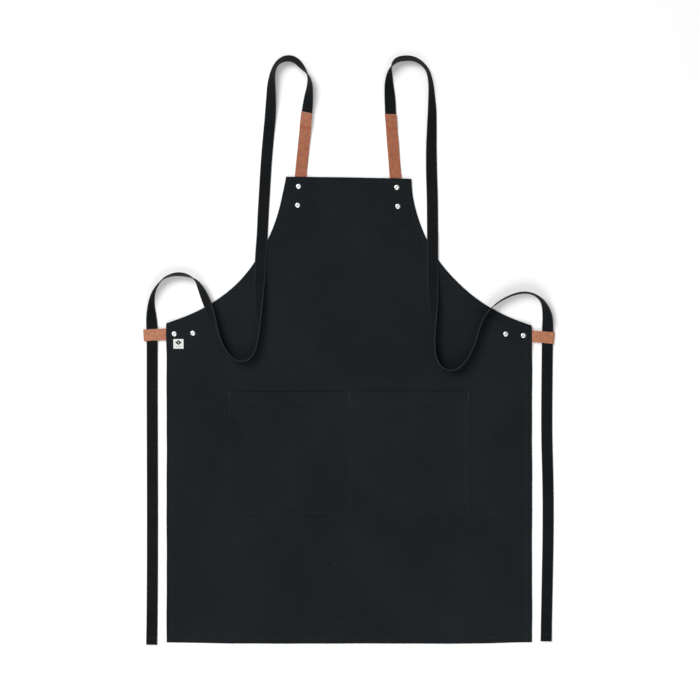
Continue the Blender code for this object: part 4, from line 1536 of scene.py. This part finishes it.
# ------------------------------------------------------------------ leather pieces
def leather_masks(section: Array, rings: int, half_width: float, end_rings: int = 0) -> dict[str, Array]:
    """Cut sides and burnished rims of a leather strip, one number per swept vertex."""
    half_thickness = np.abs(section[:, 1]).max()
    side = (np.abs(section[:, 1]) < 0.80 * half_thickness).astype(float)
    rim = smooth_step(np.abs(section[:, 0]), half_width - 0.0026, half_width - 0.0003) * (1.0 - side)
    side_all = np.tile(side, (rings, 1))
    if end_rings:
        side_all[:end_rings] = 1.0
        side_all[-end_rings:] = 1.0
    return {"side": side_all.ravel(), "rim": np.tile(rim, (rings, 1)).ravel()}


@dataclass
class ShoulderTab:
    """A leather strip riveted behind the bib; its tip laps over the end of the strap."""

    side: Side
    tip: tuple[float, float]
    lean: float
    tip_roll_degrees: float
    tip_skew: float
    creases: tuple[tuple[float, float, float], ...]
    foot_y: float = 0.318
    lap: float = 0.024
    step: float = 0.0009

    def stations(self) -> Array:
        """Distances along the strip from the tip, negative towards the foot."""
        slant = math.cos(math.atan(self.lean))
        low = -(self.tip[1] - self.foot_y) / slant
        return np.linspace(low, 0.0, round(-low / self.step) + 1)

    def line(self, stations: Array) -> Array:
        """Points in the plane at the given distances from the tip."""
        angle = self.side.value * math.atan(self.lean)
        x = self.tip[0] - stations * math.sin(angle)
        return np.stack([x, self.tip[1] + stations * math.cos(angle)], 1)

    def rolls(self, stations: Array) -> Array:
        """Roll along the strip: flat at the bib, turning towards the tip."""
        return math.radians(self.tip_roll_degrees) * smooth_step(stations, -0.075, 0.012)

    def strap_centres(self, stations: Array) -> Array:
        """Centres of a strap that lies on the floor under this strip with the same roll."""
        rolls = self.rolls(stations)
        plane = self.line(stations)
        reach = WEB.width / 2.0 * np.abs(np.sin(rolls)) + WEB.thickness / 2.0 * np.abs(np.cos(rolls))
        return np.concatenate([plane, (reach + CONTACT)[:, None]], axis=1)

    def frames(self) -> tuple[Array, Array, Array]:
        """Centres, across and face directions of the strip."""
        stations = self.stations()
        plane = self.line(stations)
        base = self.strap_centres(stations)
        across, face = strip_frames(base, self.rolls(stations))
        under = 0.5 * (LEATHER_THICKNESS - WEB.thickness)
        over = 0.5 * (LEATHER_THICKNESS + WEB.thickness) + 0.0001
        climb = smooth_step(stations, -self.lap - 0.010, -self.lap - 0.001)
        offset = under + (over - under) * climb
        behind = LEATHER_LEVEL * (1.0 - smooth_step(plane[:, 1], FOLD_Y - 0.002, FOLD_Y + 0.030))
        bow = 0.0011 * hump(plane[:, 1], 0.447, 0.022) * (1.0 - climb)
        centres = base + face * offset[:, None]
        centres[:, 2] += behind + bow - self.crease_depth(plane[:, 1])
        return centres, across, face

    def build(self, materials: dict[str, bpy.types.Material]) -> list[bpy.types.Object]:
        """Make the strip and the stitches at its tip."""
        name = self.side.label
        stations = self.stations()
        centres, across, face = self.frames()
        section = flat_section(LEATHER_WIDTH, LEATHER_THICKNESS, 0.00035)
        half = LEATHER_WIDTH / 2.0
        wobble = 1.0 + 0.010 * np.sin(stations * 2.0 * math.pi / 0.061 + self.side.value)
        sections = np.broadcast_to(section, (len(stations), *section.shape)).copy()
        sections[..., 0] *= wobble[:, None]
        pressed = self.stitch_press(stations, section)
        sections[..., 1] -= pressed
        points = swept(centres, across, face, sections)
        slant = self.tip_skew * sections[..., 0] * smooth_step(stations, -0.014, 0.0)[:, None]
        points[..., 0] -= slant * math.sin(self.side.value * math.atan(self.lean))
        points[..., 1] += slant
        uv = strip_uv(section, stations + 0.5 * self.side.value)
        masks = leather_masks(section, len(stations), half, end_rings=1)
        # Painted shade: the rim mask is raised along the cross creases, so the leather is darkened there.
        adjusted = np.clip(self.crease_depth(self.line(stations)[:, 1]) / 0.00025, 0.0, 1.0)
        masks["rim"] = np.maximum(masks["rim"], 0.9 * np.repeat(adjusted, len(section)) * (1.0 - masks["side"]))
        faces = tube_faces(len(stations), len(section))
        strip = mesh_piece(f"{name}_shoulder_tab", points.reshape(-1, 3), faces,
                           materials["tab_leather"], uv.reshape(-1, 2), masks, 50.0)
        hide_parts(f"{name}_tab_base", f"{name}_tab_upper")
        stitches = self.build_stitches(materials["tan_thread"])
        for obj in (strip, stitches):
            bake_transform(obj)
        return [strip, stitches]

    def crease_depth(self, y: Array) -> Array:
        """Depth of the cross creases above the bib: a hump for each (y, width, depth)."""
        return sum(depth * hump(y, middle, width) for middle, width, depth in self.creases)

    def stitch_rows(self) -> list[float]:
        """Distances of the two stitch rows below the tip."""
        return [-0.0045, -0.0190]

    def stitch_press(self, stations: Array, section: Array) -> Array:
        """How far the thread pulls the grain side in, round the sewn box."""
        upper = (section[:, 1] > 0.0).astype(float)[None, :]
        rows = sum(hump(stations, row, 0.0007) for row in self.stitch_rows())[:, None]
        inside = (1.0 - smooth_step(np.abs(section[:, 0]), 0.0078, 0.0088))[None, :]
        return 0.00012 * rows * inside * upper

    def build_stitches(self, material: bpy.types.Material) -> bpy.types.Object:
        """A box of stitches that holds the strap under the tip."""
        stations = self.stations()
        centres, across, face = self.frames()
        sewing = Sewing(pitch=0.0027, length=0.0021, radius=0.00026)
        first, last = self.stitch_rows()
        width = 0.0078
        corners = np.array([(-width, first), (width, first), (width, last), (-width, last)])
        corners = np.concatenate([corners, corners[:1]])
        places, ways = [], []
        for start, end in zip(corners, corners[1:]):
            count = round(float(np.linalg.norm(end - start)) / sewing.pitch)
            t = ((np.arange(count) + 0.5) / count)[:, None]
            places.append(start + (end - start) * t)
            ways.append(np.tile((end - start) / np.linalg.norm(end - start), (count, 1)))
        place, way = np.concatenate(places), np.concatenate(ways)
        middle = resampled(centres, stations, place[:, 1])
        side = resampled(across, stations, place[:, 1])
        up = resampled(face, stations, place[:, 1])
        ahead = np.cross(side, up)
        ahead /= np.linalg.norm(ahead, axis=1, keepdims=True)
        forward = way[:, 0:1] * side + way[:, 1:2] * ahead
        frame = np.stack([forward, np.cross(up, forward), up], axis=2)
        spot = middle + side * place[:, 0:1] + up * (0.5 * LEATHER_THICKNESS - 0.00008)
        return sewing.scatter(f"{self.side.label}_tab_stitches", spot, np.zeros(len(spot)), material, frame)


@dataclass
class SideLoop:
    """A leather strip folded round the strap, its two plies riveted behind the side edge."""

    side: Side
    pivot: tuple[float, float]
    drop: float
    inner_x: float = 0.290
    mouth_x: float = 0.3535
    outer_x: float = 0.397
    part_length: float = 0.009
    step: float = 0.0011

    def side_view(self) -> Array:
        """The strip's centreline seen from the end of the loop, rows (outward, up)."""
        ply = LEATHER_THICKNESS
        radius = IN_LOOP + WEB.thickness / 2.0 - ply / 2.0
        middle = IN_LOOP + WEB.thickness / 2.0
        low, high = LEATHER_LEVEL + 0.5 * ply, LEATHER_LEVEL + 1.5 * ply
        open_x = self.mouth_x + self.part_length
        turn_x = self.outer_x - radius - ply / 2.0
        angles = np.radians(np.linspace(-90.0, 90.0, 15))
        turn = np.stack([turn_x + radius * np.cos(angles), middle + radius * np.sin(angles)], 1)
        turn[:, 0] += 0.0006 * np.cos(angles)
        lower = [(self.inner_x, low), (self.mouth_x - 0.004, low), (open_x, middle - radius)]
        upper = [(open_x + 0.004, middle + radius + 0.0002), (self.mouth_x - 0.004, high)]
        upper.append((self.inner_x + 0.0008, high))
        rough = np.concatenate([lower, turn, upper])
        along = lengths_along(rough)
        line = resampled(rough, along, even_stations(along[-1], self.step))
        settled = smoothed(line, 1.6)
        settled[:, 0] = np.minimum(settled[:, 0], self.outer_x - ply / 2.0 + 0.0002)
        return settled

    def build(self, material: bpy.types.Material) -> bpy.types.Object:
        """Make the folded strip."""
        view = self.side_view()
        along = lengths_along(view)
        tangents = np.gradient(view, axis=0)
        tangents /= np.linalg.norm(tangents, axis=1, keepdims=True)
        section = flat_section(LEATHER_WIDTH, LEATHER_THICKNESS, 0.00035)
        half = LEATHER_WIDTH / 2.0
        wobble = 1.0 + 0.012 * np.sin(along * 2.0 * math.pi / 0.047)
        outward = view[:, None, 0] + section[None, :, 1] * tangents[:, None, 1]
        upward = view[:, None, 1] - section[None, :, 1] * tangents[:, None, 0]
        sideways = section[None, :, 0] * wobble[:, None]
        angle = -self.side.value * math.atan(self.drop)
        local_x = self.side.value * outward - self.pivot[0]
        x = self.pivot[0] + local_x * math.cos(angle) - sideways * math.sin(angle)
        y = self.pivot[1] + local_x * math.sin(angle) + sideways * math.cos(angle)
        points = np.stack([x, y, upward], -1)
        uv = strip_uv(section, along + 0.3 * self.side.value)
        masks = leather_masks(section, len(view), half, end_rings=1)
        name = self.side.label
        obj = mesh_piece(f"{name}_strap_loop", points.reshape(-1, 3), tube_faces(len(view), len(section)),
                         material, uv.reshape(-1, 2), masks, 50.0)
        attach(obj, "root")
        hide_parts(f"{name}_side_loop")
        return obj

    def floor_height(self, x: Array, y: Array) -> Array:
        """Height of the lower ply's face, where a strap lies in the loop."""
        out = (self.side.value * x > self.mouth_x + 0.002) & (np.abs(y - self.pivot[1] + 0.0025) < 0.0135)
        return np.where(out, LEATHER_THICKNESS, 0.0)


# ------------------------------------------------------------------ rivets
@dataclass
class Rivet:
    """A two-part tubular rivet: a domed ring cap with a dimple, and a flat back cap."""

    name: str
    cap_height: float = 0.0019
    # Painted shade in the cap's dimple and the back cap's middle: a depth and the radii between which it
    # fades; the same mask also roughens them.
    cap_shade_and_dulling: tuple[float, float, float] = (1.0, 0.0008, 0.0015)
    back_shade_and_dulling: tuple[float, float, float] = (0.6, 0.0012, 0.0030)
    segments: int = 56

    def cap_profile(self, height: float, post: float) -> Array:
        """Radius and height down from the dimple, over the dome, under it and down the post."""
        rows = [
            (0.0, 0.40), (0.00045, 0.40), (0.00085, 0.46), (0.00110, 0.62), (0.00135, 0.80),
            (0.00165, 0.92), (0.00210, 0.985), (0.00260, 1.0), (0.00320, 0.975), (0.00380, 0.90),
            (0.00430, 0.78), (0.00470, 0.62), (0.00498, 0.43), (0.00512, 0.26), (0.00515, 0.14),
            (0.00505, 0.05), (0.00480, 0.0),
        ]
        under = [(0.00440, 0.05 * height), (0.00150, 0.05 * height), (0.00150, post), (0.0, post)]
        return np.array([(radius, share * height) for radius, share in rows] + under)

    def back_profile(self, height: float) -> Array:
        """A shallow dish with a rolled rim, face down."""
        shape = [
            (0.0, 0.34), (0.0010, 0.30), (0.0020, 0.16), (0.0030, 0.05), (0.0036, 0.0), (0.0040, 0.03),
            (0.00435, 0.16), (0.00450, 0.40), (0.00450, 0.72), (0.00435, 0.93), (0.0041, 1.0), (0.0, 1.0),
        ]
        return np.array([(radius, share * height) for radius, share in shape])

    def half(
        self, name: str, node: str, profile: Array, foot: Sequence[float], shade_and_dulling: tuple[float, float, float],
        material: bpy.types.Material,
    ) -> bpy.types.Object:
        """One turned half; shade_and_dulling is a depth and the radii between which its painted shade and
        roughness fade.
        """
        depth, near, far = shade_and_dulling
        points, faces = turned(profile, foot, self.segments)
        away = np.hypot(points[:, 0] - foot[0], points[:, 1] - foot[1])
        recess = depth * (1.0 - smooth_step(away, near, far)) * (points[:, 2] >= foot[2])
        obj = mesh_piece(name, points, faces, material, masks={"recess": recess}, crisp_degrees=60.0)
        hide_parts(node)
        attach(obj, "root")
        return obj

    def build(self, material: bpy.types.Material) -> list[bpy.types.Object]:
        """Make both halves where the frame has them."""
        low, high = (np.array(corner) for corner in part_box(f"{self.name}_cap"))
        x, y, _ = 0.5 * (low + high)
        base = high[2] - self.cap_height
        profile = self.cap_profile(self.cap_height, low[2] - base)
        foot = (x, y, base)
        cap = self.half(f"{self.name}_dome", f"{self.name}_cap", profile, foot, self.cap_shade_and_dulling, material)
        low, high = (np.array(corner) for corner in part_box(f"{self.name}_back"))
        x, y, _ = 0.5 * (low + high)
        profile = self.back_profile(high[2] - low[2])
        foot = (x, y, low[2])
        back = self.half(f"{self.name}_dish", f"{self.name}_back", profile, foot, self.back_shade_and_dulling, material)
        return [cap, back]


# ------------------------------------------------------------------ straps
@dataclass(frozen=True)
class Webbing:
    """Sizes of the strap webbing."""

    width: float = 0.0216
    thickness: float = 0.0019
    ring_step: float = 0.0026
    rounding: float = 0.0009


WEB = Webbing()

LEFT_ROUTE = (
    (-0.0808, 0.5136, -15), (-0.0781, 0.5378, -31), (-0.0758, 0.5572, -53), (-0.0755, 0.5680, -64),
    (-0.0773, 0.5790, -77), (-0.0823, 0.5894, -101), (-0.0904, 0.5997, -119), (-0.1004, 0.6113, -128),
    (-0.1133, 0.6169, -134), (-0.1262, 0.6151, -131), (-0.1378, 0.6076, -117), (-0.1446, 0.5962, -115),
    (-0.1477, 0.5838, -123), (-0.1496, 0.5640, -139), (-0.1502, 0.5378, -155), (-0.1520, 0.5030, -175),
    (-0.1560, 0.4605, -180), (-0.1592, 0.4219, -180), (-0.1613, FOLD_Y, -180), (-0.1640, 0.3446, -180),
    (-0.1654, 0.3200, -180), (-0.1677, 0.2720, -180), (-0.1700, 0.2400, -180), (-0.1717, 0.2010, -176),
    (-0.1730, 0.1620, -145), (-0.1738, 0.1200, -120), (-0.1752, 0.0850, -101), (-0.1784, 0.0610, -92),
    (-0.1862, 0.0428, -90), (-0.1995, 0.0332, -90), (-0.2145, 0.0342, -90), (-0.2285, 0.0440, -88),
    (-0.2410, 0.0615, -86), (-0.2510, 0.0850, -80), (-0.2597, 0.1105, -64), (-0.2665, 0.1290, -46),
    (-0.2745, 0.1480, -38), (-0.2842, 0.1710, -52), (-0.2950, 0.1890, -80), (-0.3100, 0.1975, -103),
    (-0.3264, 0.2010, -110), (-0.3430, 0.1989, -106), (-0.3575, 0.1922, -99), (-0.3685, 0.1800, -91),
    (-0.3762, 0.1655, -82), (-0.3799, 0.1500, -68), (-0.3811, 0.1350, -55), (-0.3810, 0.1220, -35),
    (-0.3808, 0.1145, -27), (-0.3803, 0.0990, -8), (-0.3800, 0.0825, 0), (-0.3800, 0.0200, 0),
    (-0.3800, -0.0450, 0), (-0.3798, -0.1150, 0), (-0.3795, -0.2400, 0), (-0.3796, -0.3600, 0),
    (-0.3801, -0.4500, 0), (-0.3809, -0.5143, 0),
)
RIGHT_ROUTE = (
    (0.0806, 0.5105, 0), (0.0795, 0.5330, 6), (0.0783, 0.5510, 24), (0.0772, 0.5680, 38),
    (0.0781, 0.5830, 57), (0.0802, 0.5950, 75), (0.0850, 0.6055, 110), (0.0940, 0.6142, 127),
    (0.1084, 0.6171, 127), (0.1221, 0.6164, 125), (0.1349, 0.6112, 119), (0.1453, 0.6021, 115),
    (0.1523, 0.5922, 111), (0.1558, 0.5800, 114), (0.1584, 0.5640, 119), (0.1595, 0.5430, 128),
    (0.1604, 0.5150, 142), (0.1598, 0.4799, 153), (0.1591, 0.4412, 164), (0.1598, FOLD_Y, 178),
    (0.1608, 0.3600, 180), (0.1613, 0.3320, 180), (0.1616, 0.2840, 180), (0.1616, 0.2450, 180),
    (0.1618, 0.2080, 183), (0.1622, 0.1700, 202), (0.1634, 0.1300, 234), (0.1638, 0.0960, 256),
    (0.1646, 0.0640, 268), (0.1679, 0.0410, 270), (0.1770, 0.0238, 270), (0.1925, 0.0150, 270),
    (0.2082, 0.0180, 270), (0.2225, 0.0305, 270), (0.2340, 0.0485, 270), (0.2425, 0.0690, 270),
    (0.2500, 0.0930, 270), (0.2590, 0.1165, 270), (0.2737, 0.1350, 268), (0.2920, 0.1493, 264),
    (0.3113, 0.1592, 263), (0.3300, 0.1648, 264), (0.3450, 0.1650, 266), (0.3590, 0.1607, 267),
    (0.3712, 0.1508, 261), (0.3778, 0.1390, 245), (0.3812, 0.1275, 226), (0.3826, 0.1210, 218),
    (0.3834, 0.1145, 210), (0.3836, 0.0960, 189), (0.3834, 0.0825, 180), (0.3829, 0.0200, 180),
    (0.3823, -0.0450, 180), (0.3824, -0.1150, 180), (0.3846, -0.2150, 180), (0.3847, -0.3000, 180),
    (0.3832, -0.3899, 180), (0.3817, -0.4671, 180), (0.3809, -0.5078, 180),
)


@dataclass
class Strap:
    """One webbing strap, in two lengths that meet beside the bib.

    Route rows are x, y and roll in degrees.
    """

    side: Side
    route: tuple[tuple[float, float, float], ...]
    tab: ShoulderTab
    ground: HeightField
    lap: float = 0.022
    end_hem: float = 0.017
    end_growth: float = 0.85
    end_rows: tuple[float, ...] = (0.0130, 0.0155)
    end_reach: float = 0.0082
    end_stitches: int = 7

    def line(self) -> tuple[Array, Array, Array]:
        """The strap's even stations, its places in the plane, and its rolls in radians."""
        rows = np.array(self.route, float)
        tucked = np.array([-self.lap, -self.lap * 0.5])
        start = np.concatenate([self.tab.line(tucked), np.degrees(self.tab.rolls(tucked))[:, None]], 1)
        knots = np.concatenate([start, rows])
        dense = catmull_rom(knots, 24)
        along = lengths_along(dense[:, :2])
        stations = even_stations(along[-1], WEB.ring_step)
        even = resampled(dense, along, stations)
        even[:, :2] = smoothed(even[:, :2], 1.8)
        return stations, even[:, :2], np.radians(smoothed(even[:, 2], 3.0))

    def thickness_at(self, stations: Array) -> Array:
        """Thickness as a share: doubled where the far end is turned back and sewn."""
        from_end = stations[-1] - stations
        return 1.0 + self.end_growth * (1.0 - smooth_step(from_end, self.end_hem, self.end_hem + 0.0012))

    def rings(self) -> tuple[Array, Array, Array]:
        """Swept vertices, ring centres and stations of the whole strap.

        Each ring rests on the highest thing under it: its centre is the largest of ground +
        contact - offset over the section's points, eased along the strap.
        """
        stations, plane, rolls = self.line()
        level = np.concatenate([plane, np.zeros((len(plane), 1))], axis=1)
        across, face = strip_frames(level, rolls)
        section = flat_section(WEB.width, WEB.thickness, WEB.rounding)
        sections = np.broadcast_to(section, (len(plane), *section.shape)).copy()
        sections[..., 1] *= self.thickness_at(stations)[:, None]
        probe = swept(level, across, face, sections)
        below = self.ground(probe[..., 0], probe[..., 1])
        needed = (below + CONTACT - probe[..., 2]).max(axis=1)
        eased = smoothed(highest_near(needed, 3), 1.5)
        centres = level.copy()
        centres[:, 2] = np.maximum(eased, needed)
        centres[:, 2] = smoothed(centres[:, 2], 0.8)
        centres[:, 2] = np.maximum(centres[:, 2], needed)
        across, face = strip_frames(centres, rolls)
        return swept(centres, across, face, sections), centres, stations

    def build(self, materials: dict[str, bpy.types.Material]) -> list[bpy.types.Object]:
        """Make both lengths and the stitches of the sewn end."""
        name = self.side.label
        points, centres, stations = self.rings()
        section = flat_section(WEB.width, WEB.thickness, WEB.rounding)
        past_top = int(np.argmax(centres[:, 1]))
        meet = past_top + int(np.argmax(centres[past_top:, 1] < FOLD_Y - 0.001))
        uv = strip_uv(section, stations)
        lengths = []
        for piece, part in (("upper", slice(0, meet + 1)), ("lower", slice(meet, None))):
            ring = points[part]
            faces = tube_faces(len(ring), len(section))
            obj = mesh_piece(f"{name}_strap_{piece}", ring.reshape(-1, 3), faces,
                             materials["webbing"], uv[part].reshape(-1, 2), crisp_degrees=60.0)
            lengths.append(obj)
        upper, lower = lengths
        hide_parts(f"{name}_strap_bight")
        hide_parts(f"{name}_strap_front", f"{name}_strap_arch", f"{name}_strap_tail")
        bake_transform(upper)
        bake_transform(lower)
        stitches = self.build_end_stitches(centres, stations, materials["thread"])
        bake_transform(stitches)
        return [upper, lower, stitches]

    def build_end_stitches(
        self, centres: Array, stations: Array, material: bpy.types.Material
    ) -> bpy.types.Object:
        """Two rows of stitches across the turned-back end."""
        sewing = Sewing(pitch=0.0026, length=0.0021, radius=0.00026)
        places = []
        for row in self.end_rows:
            middle = resampled(centres, stations, np.full(self.end_stitches, stations[-1] - row))
            middle[:, 0] += np.linspace(-self.end_reach, self.end_reach, self.end_stitches)
            places.append(middle)
        place = np.concatenate(places)
        place[:, 2] += 0.5 * WEB.thickness * (1.0 + self.end_growth) - sewing.sink
        return sewing.scatter(f"{self.side.label}_end_stitches", place, np.zeros(len(place)), material)


# ------------------------------------------------------------------ studio
@dataclass
class Studio:
    """Pale floor, soft lights and the camera straight above."""

    camera_place: tuple[float, float, float] = (0.0021, 0.0547, 3.194)
    lens: float = 85.0
    floor_size: float = 14.0
    floor_level: float = -0.0004
    world_strength: float = 0.30
    key_power: float = 229.0
    fill_power: float = 34.0

    def add_camera(self) -> None:
        """The camera looks straight down with +Y up."""
        data = bpy.data.cameras.new("camera")
        data.lens = self.lens
        data.sensor_width = 36.0
        camera = bpy.data.objects.new("camera", data)
        camera.location = self.camera_place
        bpy.context.scene.collection.objects.link(camera)
        bpy.context.scene.camera = camera

    def add_floor(self, material: bpy.types.Material) -> None:
        """A wide flat floor."""
        half = self.floor_size / 2.0
        corners = np.array([(-half, -half), (half, -half), (half, half), (-half, half)])
        points = np.concatenate([corners, np.full((4, 1), self.floor_level)], axis=1)
        mesh = bpy.data.meshes.new("floor")
        mesh.from_pydata(points.tolist(), [], [(0, 1, 2, 3)])
        mesh.materials.append(material)
        floor = bpy.data.objects.new("floor", mesh)
        bpy.context.scene.collection.objects.link(floor)

    def add_area(self, name: str, place: Sequence[float], size: float, power: float) -> None:
        """A square light aimed at the middle of the apron."""
        data = bpy.data.lights.new(name, "AREA")
        data.shape = "SQUARE"
        data.size = size
        data.energy = power
        lamp = bpy.data.objects.new(name, data)
        lamp.location = place
        x, y, z = place
        flat = math.hypot(x, y)
        lamp.rotation_euler = (math.atan2(flat, z), 0.0, math.atan2(x, -y))
        bpy.context.scene.collection.objects.link(lamp)

    def add_lights(self) -> None:
        """A large key from the upper left, a fill over the skirt, and an even sky."""
        self.add_area("key", (-2.5, 2.3, 4.3), 3.0, self.key_power)
        self.add_area("fill", (0.0, -2.0, 1.9), 1.6, self.fill_power)
        world = bpy.data.worlds.new("sky")
        world.use_nodes = True
        sky = world.node_tree.nodes["Background"]
        sky.inputs["Color"].default_value = (1.0, 1.0, 1.0, 1.0)
        sky.inputs["Strength"].default_value = self.world_strength
        bpy.context.scene.world = world
        bpy.context.scene.view_settings.view_transform = "Standard"


# ------------------------------------------------------------------ the whole apron
def all_materials() -> dict[str, bpy.types.Material]:
    """Every finish, built once."""
    finishes = {
        "canvas": CANVAS, "webbing": WEBBING, "tab_leather": TAB_LEATHER, "loop_leather": LOOP_LEATHER,
        "nickel": NICKEL, "thread": DARK_THREAD, "tan_thread": TAN_THREAD, "pale_thread": PALE_THREAD,
        "label": LABEL_CLOTH, "floor": FLOOR,
    }
    return {key: finish.made() for key, finish in finishes.items()}


def rivet_names() -> list[str]:
    """Names of all rivets, without the half."""
    places = ("shoulder_rivet_upper", "shoulder_rivet_lower", "loop_rivet_outer", "loop_rivet_inner")
    return [f"{side.label}_{place}" for side in Side for place in places]


def rivet_middles() -> Array:
    """Where each rivet stands in the plane."""
    boxes = [np.array(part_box(f"{name}_cap"), float) for name in rivet_names()]
    return np.array([0.5 * (box[0, :2] + box[1, :2]) for box in boxes])


def report(pieces: Sequence[bpy.types.Object]) -> None:
    """Log each new piece with its number of faces."""
    for obj in pieces:
        LOG.info("%s: %d faces", obj.name, len(obj.data.polygons))


def main() -> None:
    """Build the apron round the frame, piece by piece."""
    logging.basicConfig(level=logging.INFO, format="%(name)s: %(message)s")
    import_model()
    materials = all_materials()
    studio = Studio()
    studio.add_camera()
    form = ClothForm(rivets=rivet_middles())
    tabs = {
        Side.LEFT: ShoulderTab(
            Side.LEFT, (-0.0808, 0.5131), 0.1013, -15.0, 0.125,
            creases=((0.3992, 0.0009, 0.00022), (0.3962, 0.0009, 0.00022), (0.4075, 0.0010, 0.00010)),
        ),
        Side.RIGHT: ShoulderTab(
            Side.RIGHT, (0.0806, 0.5100), 0.0781, 0.0, 0.10,
            creases=((0.4228, 0.0009, 0.00026), (0.4112, 0.0011, 0.00016)),
        ),
    }
    loops = {
        Side.LEFT: SideLoop(Side.LEFT, (-0.3369, 0.0858), 0.045),
        Side.RIGHT: SideLoop(Side.RIGHT, (0.3367, 0.0827), 0.084),
    }
    routes = {Side.LEFT: LEFT_ROUTE, Side.RIGHT: RIGHT_ROUTE}

    def ground(x: Array, y: Array) -> Array:
        """Height of whatever a strap lies on."""
        height = form.top(x, y)
        for loop in loops.values():
            height = np.maximum(height, np.where(height > 0.0, height, loop.floor_height(x, y)))
        return height

    for side in Side:
        report(Strap(side, routes[side], tabs[side], ground).build(materials))
        report(tabs[side].build(materials))
        report([loops[side].build(materials["loop_leather"])])
    panel = Panel(form)
    report([panel.build(materials["canvas"])])
    report(panel.build_stitching(materials["thread"]))
    pocket = Pocket(form)
    report([pocket.build(materials["canvas"])])
    report(pocket.build_stitching(materials["thread"]))
    report(Label(form).build(materials))
    for name in rivet_names():
        report(Rivet(name).build(materials["nickel"]))
    studio.add_floor(materials["floor"])
    studio.add_lights()


if __name__ == "__main__":
    main()
